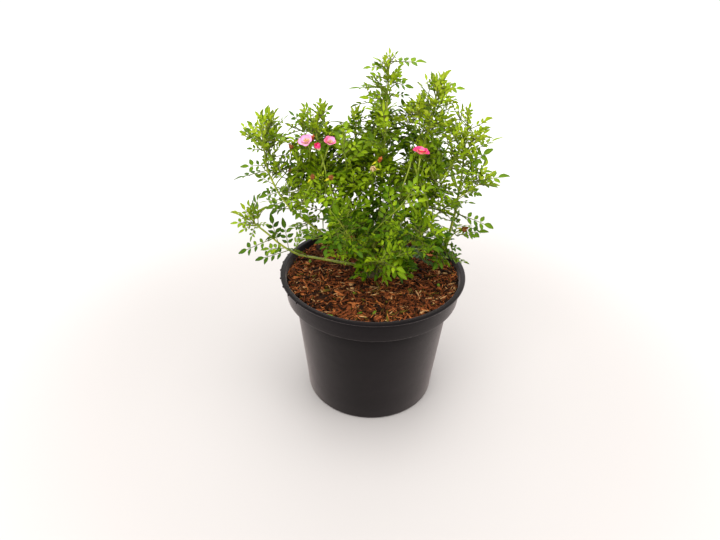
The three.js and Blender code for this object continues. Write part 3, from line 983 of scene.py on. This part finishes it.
# clearings that show the sky through the crown from the front, in millimetres: x, height and radius
clearings = [
    (21, 270, 4.5), (-9, 306, 5), (-36, 301, 5), (-38, 311, 7), (-31, 309, 3), (70, 201, 5), (17, 210, 3),
    (32, 204, 4), (-54, 196, 7), (-77, 303, 6), (-77, 292, 2), (-95, 270, 2), (52, 230, 3), (101, 222, 10),
    (91, 305, 8), (31, 344, 7), (27, 331, 5), (17, 327, 3), (15, 317, 3), (88, 182, 7), (-112, 243, 2),
    (-113, 264, 7), (106, 263, 5), (98, 275, 4), (103, 252, 4), (104, 238, 3), (62, 244, 4),
    (-117, 305, 7), (-15, 325, 5), (-40, 276, 3.5),
]

# bright young shoots at the front, mass by mass: foot and tip in millimetres, and tone
frontShoots = [
    ("front_right", [((-9, -40, 196), (30, -50, 257), 3.9)]),
    ("foot_front", [
        ((-5, -26, 158), (-13, -44, 196), 4.2), ((-9, -24, 156), (-27, -38, 180), 4.4),
        ((3, -26, 157), (11, -46, 187), 4.0),
    ]),
    ("heart", [((-26, -14, 250), (-30, -24, 297), 4.3), ((6, 2, 272), (7, -21, 300), 3.9)]),
    ("left_body", [((-44, -14, 236), (-48, -38, 262), 4.8)]),
    ("right_body", [((48, -10, 238), (58, -34, 262), 4.4)]),
    ("left_shoulder", [((-66, -2, 222), (-99, -4, 274), 4.4)]),
    ("right_shoulder", [((58, -4, 262), (66, -12, 291), 4.6)]),
    ("right_side", [((62, -4, 248), (72, -12, 274), 4.4)]),
    ("heart", [((16, -14, 212), (22, -26, 238), 3.8)]),
    ("right_side", [((88, 24, 232), (92, 10, 262), 5.0)]),
    ("right_shoulder", [((87, 24, 262), (91, 12, 286), 5.2)]),
]


class Mass:
    # one mass of the frame: its outline, its middle and half sizes
    def __init__(self, name):
        self.name = name
        self.group, self.canes, self.shoots, self.tone, self.leaf, self.upright = masses[name]
        bm = bmesh.new()
        bm.from_mesh(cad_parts["foliage_" + name].data)
        bmesh.ops.remove_doubles(bm, verts=bm.verts, dist=1e-5)
        self.tree = BVHTree.FromBMesh(bm)
        corners = [v.co.copy() for v in bm.verts]
        bm.free()
        self.middle = sum(corners, Vector()) / len(corners)
        low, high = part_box("foliage_" + name)
        self.half = (high - low) / 2

    def depth(self, point):
        # how far a point is inside, in metres; below 0 is outside
        spot, _, _, distance = self.tree.find_nearest(point)
        near = self.tree.find_nearest_range(point, distance + 1e-6)
        normal = sum((found[1] for found in near), Vector())
        return distance if (point - spot).dot(normal) < 0 else -distance


class Plant:
    # grows shoots and leaves from the canes into the masses
    def __init__(self, paths):
        self.rng = random.Random(seeds["leaves"])
        self.paths = paths
        self.masses = {name: Mass(name) for name in masses}
        self.leaflets = {}
        self.stalks = []
        self.twigs = []
        self.leafCount = 0
        self.eye = Vector(view["place"])
        self.sightLines = []
        for x, z, radius in clearings:
            way = (metres((x, 0, z)) - self.eye).normalized()
            self.sightLines.append((way, radius * 0.001 + leafLook["clearMargin"]))

    def depth(self, point):
        return max(mass.depth(point) for mass in self.masses.values())

    def inClearing(self, point):
        # whether a leaf here would close one of the clearings, seen from the front
        return any(((point - self.eye).cross(way)).length < radius for way, radius in self.sightLines)

    def facing(self, origin, direction, lean):
        # which way a leaf's upper side looks: up and outwards, or up and the way it is told to lean
        outward = Vector((origin.x, origin.y, 0))
        outward *= min(0.55 / max(outward.length, 0.001), 9.0)
        wanted = up + (lean or outward) + wobble(self.rng, 0.25)
        normal = wanted - direction * wanted.dot(direction)
        if normal.length < 0.15:  # a leaf that points that way itself faces the stem instead
            normal = Vector((-origin.x, -origin.y, 0.01))
            normal -= direction * normal.dot(direction)
        return normal.normalized()

    def leaf(self, group, origin, direction, length, tone, young=0.0, lean=None):
        # a compound leaf: a stalk with pairs of leaflets and one at its end
        rng = self.rng
        direction = direction.normalized()
        normal = self.facing(origin, direction, lean)
        side = normal.cross(direction)
        pairs = 1 + (length > leafLook["twoPairs"]) + (length > leafLook["threePairs"])
        stalkLength = length * (0.66 if pairs > 1 else 0.52)
        soft = (1 - young) * (0.25 if lean else 1.0)
        sag = rng.uniform(-0.04, 0.16) * soft
        bow = rng.gauss(0, 0.06)

        def spot(t):
            far = stalkLength * t
            return origin + direction * far - normal * (sag * far * t) + side * (bow * far * t)

        def along(t):
            return (spot(t + 0.02) - spot(t - 0.02)).normalized()

        thick, thin = leafLook["stalkRadius"]
        shares = [k / leafLook["stalkSteps"] for k in range(leafLook["stalkSteps"] + 1)]
        self.stalks.append(([spot(t) for t in shares], [thick + (thin - thick) * t for t in shares]))
        raised = rng.uniform(0.0, 0.35) + 0.7 * young
        for k, t in enumerate(leafLook["places"][pairs]):
            for hand in (-1, 1):
                splay = math.radians(rng.uniform(54, 72) - 20 * young)
                way = along(t) * math.cos(splay) + side * (hand * math.sin(splay)) + normal * raised * 0.4
                face = normal - side * (hand * raised * 0.6) + wobble(rng, 0.14)
                size = min(length, leafLook["leafletFrom"]) * (0.255 + 0.02 * k) * rng.uniform(0.86, 1.1)
                foot = spot(t) + way.normalized() * 0.0006
                self.leaflet(group, foot, way, face, size, tone, young, rng.uniform(0.5, 0.6))
        way = along(1.0) + normal * rng.uniform(-0.3, 0.08) * soft
        face = normal + wobble(rng, 0.1)
        size = min(length, leafLook["endLeafletFrom"]) * (0.39 if pairs > 1 else 0.5)
        size *= rng.uniform(0.92, 1.08)
        self.leaflet(group, spot(1.0), way, face, size, tone, young, rng.uniform(0.42, 0.5))
        self.leafCount += 1

    def leaflet(self, group, origin, way, face, size, tone, young, breadth):
        # notes one leaflet: its shape, its place and the slot of its tone
        rng = self.rng
        slot = min(toneSlots["leafTip"], max(0, round(tone + rng.gauss(0, 0.45))))
        if rng.random() < leafLook["brownShare"] and young < 0.3:
            slot = toneSlots["leafBrown"]
        width = size * (breadth - 0.09 * young)
        shape = rng.randrange(3) if young < 0.5 else 3 + rng.randrange(2)
        matrix = turned(origin, way, face, size, width, (size + width) / 2)
        self.leaflets.setdefault(group, []).append((shape, matrix, slot))

    def leavesAlong(self, mass, points, travelled, tone):
        # leaves along a shoot, each turned by the same angle from the last
        rng = self.rng
        turn = rng.uniform(0, 360)
        total = travelled[-1]
        every = leafLook["every"]
        far = 0.2 * total + rng.uniform(0, every)
        while far < total - 0.002:
            place, ahead = spotAlong(points, travelled, far)
            share = far / total
            young = max(mass.upright * share, (share - 0.72) / 0.28 * 0.7)
            length = mass.leaf * (1.08 - 0.38 * share ** 3) * rng.uniform(0.84, 1.14)
            shade = tone + 1.5 * (share - 0.5)
            self.bestLeaf(mass, place, ahead, turn, length, shade, young, leafLook["slack"])
            turn += leafLook["turn"] + rng.gauss(0, 14)
            far += every * rng.uniform(0.8, 1.2) * (1 - 0.35 * share)

    def bestLeaf(self, mass, origin, ahead, turn, length, tone, young, slack):
        # tries the wanted side first, then others, and shortens a leaf that would leave the crown
        rng = self.rng
        across = ahead.orthogonal().normalized()
        tilt = rng.uniform(48, 76) - 36 * young
        for extra in leafLook["tries"]:
            outward = swung(across, ahead.cross(across), turn + extra)
            way = swung(ahead, outward, tilt)
            way.z = max(way.z, -0.35) + 0.08
            way.normalize()
            for cut in leafLook["cuts"]:
                end = origin + way * length * cut
                seen = self.inClearing(end) or self.inClearing(origin + way * length * cut * 0.6)
                if end.z > leafLook["lowest"] and not seen and self.depth(end) > -slack:
                    # leaves deeper inside the crown take darker tones: painted shade
                    shade = -1.5 * min(1.0, max(0.0, self.depth(origin) / 0.028))
                    cutLength = max(length * cut, leafLook["shortest"])
                    self.leaf(mass.group, origin, way, cutLength, tone + shade + rng.gauss(0, 0.5), young)
                    return

    def rosette(self, mass, tip, ahead, tone, size=1.0):
        # folded young leaves round a growing tip
        rng = self.rng
        count = rng.randrange(3, 6)
        turn = rng.uniform(0, 360)
        across = ahead.orthogonal().normalized()
        for k in range(count):
            outward = swung(across, ahead.cross(across), turn + leafLook["turn"] * k)
            way = swung(ahead, outward, 12 + 9 * (count - k))
            length = size * (0.0118 + 0.0022 * (count - k)) * rng.uniform(0.85, 1.15)
            foot = tip - ahead * 0.0015 * (count - k)
            while length > leafLook["shortestYoung"] and self.depth(foot + way * length) < -0.005:
                length *= 0.85
            if not self.inClearing(foot + way * length):
                self.leaf(mass.group, foot, way, length, tone + 1.2, 0.85)

    def shoot(self, mass, start, startWay, end, radius, tone=None):
        # a side shoot that sets off partly along its cane and rises to its end
        span = (end - start).length
        straight = (end - start).normalized()
        first = start + (startWay * 0.4 + straight * 0.6).normalized() * span * 0.36
        last = end - (up * 0.55 + straight * 0.7).normalized() * span * 0.34
        points = bezier(start, first, last, end, twigLook["step"])
        travelled = lengthsOf(points)
        thin = twigLook["tip"]
        self.twigs.append((points, [radius + (thin - radius) * d / travelled[-1] for d in travelled]))
        # shoots that end deep inside their mass take darker tones: painted shade
        tone = tone or mass.tone - 1.1 * min(1.0, max(0.0, mass.depth(end) / 0.02))
        self.leavesAlong(mass, points, travelled, tone)
        self.rosette(mass, points[-1], (points[-1] - points[-2]).normalized(), tone)

    def nearestOnCanes(self, names, end):
        # where a shoot to this end best leaves its cane: below it and not too far along
        best = None
        for name in names:
            points, _, radii = self.paths[name]
            for k in range(4, len(points) - 1):
                rise = end.z - points[k].z
                gap = (end - points[k]).length
                cost = gap + 0.5 * max(0.0, 0.012 - rise) + 0.1 * max(0.0, rise - 0.05)
                if points[k].z < 0.152 and rise > 0.03:
                    cost += 0.02
                if best is None or cost < best[0]:
                    best = (cost, points[k], (points[k + 1] - points[k - 1]).normalized(), radii[k])
        return best[1:]

    def fillMass(self, mass):
        # side shoots whose ends are spread evenly through a mass
        rng = self.rng
        golden = math.pi * (3 - math.sqrt(5))
        wanted = mass.shoots
        for k in range(wanted):
            height = 1 - 1.5 * (k + 0.5) / wanted  # more tips above the middle than below it
            flat = math.sqrt(max(0.0, 1 - height * height))
            angle = golden * k + rng.uniform(-0.35, 0.35)
            way = Vector((flat * math.cos(angle), flat * math.sin(angle), height))
            inward = 0.6 if k % 3 == 2 or mass.name in ("back_crown", "top") else 1.0
            for share in (0.76, 0.62, 0.48, 0.36):
                reach = Vector(way[i] * mass.half[i] * share * inward for i in range(3))
                end = mass.middle + reach
                if mass.depth(end) > 0.004:
                    break
            start, startWay, thick = self.nearestOnCanes(mass.canes, end)
            if self.inClearing(end):
                continue
            if (end - start).length < 0.008:
                end = start + (end - start + up * 0.004).normalized() * twigLook["shortest"]
            self.shoot(mass, start, startWay, end, min(thick * 0.65, twigLook["widest"]))

    def reachOut(self, name, foot, tip, tone):
        # a leaf whose tip is set, on a short stalk from the nearest cane or twig
        mass = self.masses[name]
        foot, tip = Vector(foot) * 0.001, Vector(tip) * 0.001
        runs = [point for points, _ in self.twigs for point in points[::2]]
        for cane in mass.canes:
            runs += self.paths[cane][0]
        start = min(runs, key=lambda point: (point - foot).length + 0.5 * max(0.0, point.z - foot.z))
        if (start - foot).length > twigLook["linkFrom"]:
            sideways = start.lerp(foot, 0.5) - up * 0.0015
            self.twigs.append(([start, sideways, foot], twigLook["link"]))
        length = (tip - foot).length
        steep = (tip - foot).normalized().z
        young = 0.35 if steep > 0.75 else 0.0
        lean = Vector((0, -0.6, 0))  # its face turned to the front
        if mass.middle.y > 0.04:
            lean.y = 0.7
        elif 0.026 < length < 0.038 and steep < 0.6:
            lean.y = -0.15
        self.leaf(mass.group, foot, tip - foot, length * 0.98, tone, young, lean)

    def dressCane(self, name):
        # leaves along the part of a cane that stands clear of the mulch
        rng = self.rng
        points, travelled, _ = self.paths[name]
        total = travelled[-1]
        far = next(d for point, d in zip(points, travelled) if point.z > 0.150 and d > 0.02)
        turn = rng.uniform(0, 360)
        while far < total - 0.002:
            place, ahead = spotAlong(points, travelled, far)
            deepest = max(self.masses.values(), key=lambda mass: mass.depth(place))
            share = far / total
            young = max(deepest.upright * share, (share - 0.85) / 0.15 * 0.7)
            length = deepest.leaf * rng.uniform(0.95, 1.2) * (1 - 0.3 * share ** 4)
            slack = leafLook["slack"] if deepest.depth(place) > 0 else leafLook["caneSlack"]
            self.bestLeaf(deepest, place, ahead, turn, length, deepest.tone + share - 0.5, young, slack)
            turn += leafLook["turn"] + rng.gauss(0, 12)
            spacing = 1.0
            if deepest.group == "Top" and share > 0.6:
                spacing = 0.45
            elif name == "left":
                spacing = 1.8
            far += leafLook["every"] * rng.uniform(0.8, 1.1) * spacing
        last = max(self.masses.values(), key=lambda mass: mass.depth(points[-1]))
        ahead = (points[-1] - points[-3]).normalized()
        self.rosette(last, points[-1], ahead, last.tone + 0.3, 1.2)

    def grow(self):
        for name in self.paths:
            self.dressCane(name)
        for mass in self.masses.values():
            self.fillMass(mass)
        for name, leaves in reaching:
            for foot, tip, tone in leaves:
                self.reachOut(name, foot, tip, tone)
        for name, shoots in frontShoots:
            for foot, tip, tone in shoots:
                foot, tip = Vector(foot) * 0.001, Vector(tip) * 0.001
                self.shoot(self.masses[name], foot, up, tip, twigLook["front"], tone)
        for k in range(3):  # small yellow leaflets low on the front shoots
            place = Vector((-0.008 + 0.004 * k, -0.035 - 0.001 * k, 0.164 + 0.0015 * k))
            way, face = Vector((0.6 - k, -0.6, 0.5)), Vector((0, -0.7, 1))
            matrix = turned(place, way, face, 0.006, 0.0032, 0.004)
            self.leaflets["Front"].append((k, matrix, toneSlots["leafYellow"]))
        counts = {group: len(found) for group, found in self.leaflets.items()}
        print("crown grown:", self.leafCount, "leaves,", len(self.twigs), "twigs, leaflets", counts)


def addLeaves(grown, finishes):
    bends = ((0.22, 0.14, 0.84), (0.36, 0.3, 0.88), (0.1, 0.02, 0.82), (0.7, -0.1, 0.88), (1.0, 0.15, 0.9))
    shapes = [leafletShape(*bend) for bend in bends]
    for group, copies in grown.leaflets.items():
        nodes = ["foliage_" + name for name, spec in masses.items() if spec[0] == group]
        mesh = joinCopies("leaves" + group, shapes, copies, len(finishes))
        addPiece("leaves" + group, mesh, nodes, finishes)
    print("leaves ready")


def stemFinish(name, roughness, scale, detail, dark, light):
    finish = Finish(name, roughness)
    finish.blend(finish.grain(scale, detail), 0.35, 0.65, dark, light)
    return finish


def addTwigs(grown):
    nodes = ["foliage_" + name for name in masses]
    finish = stemFinish("greenTwig", 0.5, 220.0, 3.0, (92, 114, 22), (140, 156, 44))
    finish.wear("Specular IOR Level", 0.25)
    addPiece("sideTwigs", tubeMesh("sideTwigs", grown.twigs, 1), nodes, [finish])
    finish = stemFinish("leafStalk", 0.55, 90.0, 2.0, (88, 88, 42), (116, 128, 36))
    finish.wear("Specular IOR Level", 0.25)
    addPiece("leafStalks", tubeMesh("leafStalks", grown.stalks, 0), nodes, [finish])
    print("twigs ready")


# blossom

# blooms use the first three tones and spent ones the rest
petalTones = {
    "petalHot": (246, 62, 130),
    "petalRose": (244, 110, 156),
    "petalBlush": (250, 184, 218),
    "petalDry": (222, 188, 142),
    "petalRust": (176, 92, 42),
    "petalBrown": (146, 88, 46),
}
firstDry = 3
# place in millimetres, facing, petal length in millimetres, how open from 0 to 1, petals, tone
blooms = [
    ((-62, -15, 285), (-0.2, -0.6, 0.75), 7.8, 0.75, 9, 2),
    ((-51, -18, 279), (-0.3, -0.2, 1.0), 6.8, 0.5, 8, 0),
    ((-42, -20, 286), (0.2, -0.5, 0.85), 7.2, 0.6, 9, 1),
    ((38, -28, 281), (0.1, -0.1, 1.0), 8.6, 0.95, 10, 0),
    ((-3, -31, 267), (-0.2, -0.75, 0.6), 5.4, 0.7, 9, 3),
    ((-58, -8, 284), (0.2, -0.3, 1.0), 4.2, 0.3, 6, 4),
    ((1, -31, 274), (0.4, -0.4, 0.8), 4.4, 0.3, 7, 4),
    ((-76, -10, 277), (-0.4, -0.4, 0.8), 4.6, 0.5, 6, 5),
    ((-56, -42, 262), (0.1, -0.6, 0.8), 5.2, 0.5, 6, 5),
    ((-40, -44, 263), (0.2, -0.6, 0.7), 5.0, 0.6, 6, 5),
    ((88, 3, 191), (0.5, -0.5, 0.5), 5.0, 0.7, 5, 5),
    ((30, 96, 246), (0.3, 0.6, 0.7), 6.8, 0.7, 9, 1),
    ((-22, 96, 240), (-0.2, 0.6, 0.8), 6.0, 0.5, 9, 0),
    ((-16, 98, 234), (0.2, 0.7, 0.6), 4.4, 0.4, 6, 5),
]
# place and length in millimetres
buds = [
    ((30, -24, 274), 5.5), ((34, -26, 268), 4.6), ((42, -24, 268), 5.0), ((36, 90, 240), 5.0),
    ((-28, 92, 236), 4.8),
]
blossomLook = {
    "paler": 0.3,  # how often a petal takes the next paler tone
    "freshSepal": 0.0052,
    "spentSepal": 0.0068,
    "hip": 0.0042,
    "stamens": 18,
    "stamenRadii": (0.00011, 0.00009),
    "antherRadius": 0.00032,
    "stemRadius": (0.00085, 0.00065),
}


def petalShape(cup, curl, ragged):
    # a petal along X with a broad, notched end; cup bends it towards +Z
    rows = 5
    bm = bmesh.new()
    bmesh.ops.create_grid(bm, x_segments=rows, y_segments=4, size=0.5)
    layMap(bm, 0.5)
    for vert in bm.verts:
        row, side = vert.co.x + 0.5, vert.co.y * 2
        t = math.sin(row * math.pi / 2)
        half = 0.5 * math.sin(math.pi * min(0.93, t ** 1.5)) ** 0.55
        wave = ragged * noise.noise(Vector((t * 5, side * 3, cup * 9)))
        vert.co = (t - 0.09 * (1 - abs(side)) * t ** 4 - 0.1 * side * side * t ** 5, side * half,
                   cup * t * t * 0.6 + 0.5 * cup * side * side * half - curl * t ** 4 + wave)
    bmesh.ops.remove_doubles(bm, verts=bm.verts, dist=1e-4)
    return Shape(bm)


def petalFinishes():
    made = []
    for slot, (name, shade) in enumerate(petalTones.items()):
        finish = Finish(name, 0.55)
        along, across = cellPlace(finish, slot, len(petalTones))
        foot = tint(250, 238, 190)
        rim = tint(*[min(255, c * 1.06 + 4) for c in shade])
        if slot >= firstDry:
            foot = tint(*[c * 0.6 for c in shade])
        if name == "petalBlush":
            rim = tint(236, 106, 178)
        body = finish.mix(finish.range(along, 0.1, 0.42), foot, tint(*shade))
        streak = (across * 60).maths("SINE") * 0.12
        finish.wear("Base Color", finish.mix(finish.range(along + streak, 0.5, 0.95), body, rim))
        finish.wear("Specular IOR Level", 0.2)
        made.append(finish)
    return made


def turnedAlong(profile, shift):
    # a small round template that lies along X
    bm = spinProfile(profile, 8)
    bmesh.ops.rotate(bm, verts=bm.verts, cent=(0, 0, 0), matrix=Matrix.Rotation(math.radians(90), 3, "Y"))
    layMap(bm, shift)
    return Shape(bm)


def greenShapes():
    # a sepal, the cup under a bloom and a bud
    hip = [(0, -1.0), (0.18, -0.96), (0.36, -0.75), (0.42, -0.45), (0.34, -0.15), (0.3, 0.0), (0, 0.05)]
    bud = [(0, -0.3), (0.2, -0.28), (0.24, -0.12), (0.2, 0.0), (0.3, 0.18), (0.3, 0.34), (0.2, 0.62)]
    bud += [(0.08, 0.88), (0, 1.0)]
    return [leafletShape(0.3, 0.3, 0.7), turnedAlong(hip, 1), turnedAlong(bud, 0)]


class Blossom:
    # gathers petals, sepals, stamens and stems of all blooms and buds
    def __init__(self, grown):
        self.rng = random.Random(seeds["blossom"])
        self.petals, self.dried, self.sepals = [], [], []
        self.stamens, self.anthers, self.stems = [], [], []
        self.runs = [point for points, _ in grown.twigs for point in points[::2]]
        self.runs += [point for points, _, _ in grown.paths.values() for point in points]

    def stemTo(self, place, facing):
        # a flower stem from the nearest twig or cane a little lower down
        low = place - facing * 0.012 - up * 0.024
        start = min(self.runs, key=lambda point: (point - low).length)
        points = bezier(start, start + up * 0.010, place - facing * 0.012, place, twigLook["step"])
        thick, thin = blossomLook["stemRadius"]
        last = len(points) - 1
        self.stems.append((points, [thick + (thin - thick) * k / last for k in range(last + 1)]))

    def openPetals(self, place, axis, side, length, opening, count, tone):
        # an outer ring of five petals, and the others within it
        rng = self.rng
        for k in range(count):
            inner = k >= 5
            radial = swung(side, axis.cross(side), 72 * k + 36 * inner + rng.uniform(-9, 9))
            lift = 86 - opening * (34 if inner else 62) + rng.uniform(-7, 7)
            way, face = swung(radial, axis, lift), swung(axis, -radial, lift)
            size = length * (0.8 if inner else 1.0) * rng.uniform(0.9, 1.08)
            if tone < firstDry:
                slot = min(firstDry - 1, tone + (rng.random() < blossomLook["paler"]))
                shape, breadth, kept = (0 if opening > 0.5 else 1), 0.9, self.petals
            else:
                slot = len(petalTones) - 1 if inner and tone == firstDry else tone
                shape, breadth, kept = 2, 0.6, self.dried
            matrix = turned(place + radial * 0.0007, way, face, size, size * breadth, size)
            kept.append((shape, matrix, slot))

    def cup(self, place, axis, side, spent):
        # five sepals and the swelling below them; those of a spent bloom hang down
        size = blossomLook["spentSepal" if spent else "freshSepal"]
        fall = (0.3, 1.5) if spent else (0.1, 0.7)
        for k in range(5):
            radial = swung(side, axis.cross(side), 72 * k + self.rng.uniform(-12, 12))
            way = radial - axis * self.rng.uniform(*fall)
            matrix = turned(place - axis * 0.0002, way, axis, size, size * 0.3, size)
            tone = "leafFresh" if spent else "leafMiddle"
            if spent and k == 2:
                tone = "leafYellow"
            self.sepals.append((0, matrix, toneSlots[tone]))
        hip = blossomLook["hip"]
        tone = "leafMiddle" if spent else "leafGreen"
        self.sepals.append((1, turned(place, axis, side, hip, hip, hip), toneSlots[tone]))

    def fillMiddle(self, place, axis, side):
        rng = self.rng
        for _ in range(blossomLook["stamens"]):
            radial = swung(side, axis.cross(side), rng.uniform(0, 360))
            end = place + axis * rng.uniform(0.0018, 0.003) + radial * rng.uniform(0.0006, 0.0024)
            self.stamens.append(([place + axis * 0.0002, end], blossomLook["stamenRadii"]))
            self.anthers.append(end)

    def bloom(self, place, facing, length, opening, count, tone):
        place, axis = Vector(place) * 0.001, Vector(facing).normalized()
        side = axis.orthogonal().normalized()
        self.openPetals(place, axis, side, length * 0.001, opening, count, tone)
        self.cup(place, axis, side, tone >= firstDry)
        if opening > 0.5:
            self.fillMiddle(place, axis, side)
        self.stemTo(place - axis * 0.0035, axis)

    def bud(self, place, length):
        place, length = Vector(place) * 0.001, length * 0.001
        axis = (up + wobble(self.rng, 0.2)).normalized()
        side = axis.orthogonal().normalized()
        green = toneSlots["leafGreen"]
        self.sepals.append((2, turned(place, axis, side, length, length, length), green))
        for k in range(4):
            radial = swung(side, axis.cross(side), 90 * k + self.rng.uniform(-12, 12))
            way = axis + radial * self.rng.uniform(0.05, 0.3)
            foot = place + radial * length * 0.2
            self.sepals.append((0, turned(foot, way, -radial, length * 1.1, length * 0.3, length), green))
        self.stemTo(place - axis * length * 0.25, axis)


def stamenMesh(stamens, anthers):
    mesh = tubeMesh("stamens", stamens, 0)
    bm = bmesh.new()
    bm.from_mesh(mesh)
    for place in anthers:
        spot = Matrix.Translation(place)
        bmesh.ops.create_icosphere(bm, subdivisions=1, radius=blossomLook["antherRadius"], matrix=spot)
    bm.to_mesh(mesh)
    bm.free()
    return mesh


def addBlossom(grown, greens):
    blossom = Blossom(grown)
    for spec in blooms:
        blossom.bloom(*spec)
    for spec in buds:
        blossom.bud(*spec)
    shapes = [petalShape(0.35, 0.25, 0.06), petalShape(0.8, 0.1, 0.08), petalShape(0.5, -0.5, 0.4)]
    pinks = petalFinishes()
    for name, templates, copies, finishes in (("petals", shapes, blossom.petals, pinks),
                                              ("driedPetals", shapes, blossom.dried, pinks),
                                              ("sepalsAndBuds", greenShapes(), blossom.sepals, greens)):
        addPiece(name, joinCopies(name, templates, copies, len(finishes)), [], finishes)
    finish = Finish("stamenGold", 0.6)
    grit = finish.grain(900.0, 2.0)
    finish.wear("Base Color", finish.mix(grit, tint(190, 130, 40), tint(246, 214, 96)))
    addPiece("stamens", stamenMesh(blossom.stamens, blossom.anthers), [], [finish])
    finish = stemFinish("flowerStem", 0.5, 160.0, 3.0, (128, 148, 34), (172, 184, 66))
    addPiece("flowerStems", tubeMesh("flowerStems", blossom.stems, 1), [], [finish])
    print("blossom ready:", len(blooms), "blooms and", len(buds), "buds")


addCamera()
addStudio()
addPot()
dressSoil()
addBed()
addBark()
addCrownStem()
greens = leafFinishes()
plant = Plant(growCanes())
plant.grow()
addLeaves(plant, greens)
addTwigs(plant)
addBlossom(plant, greens)
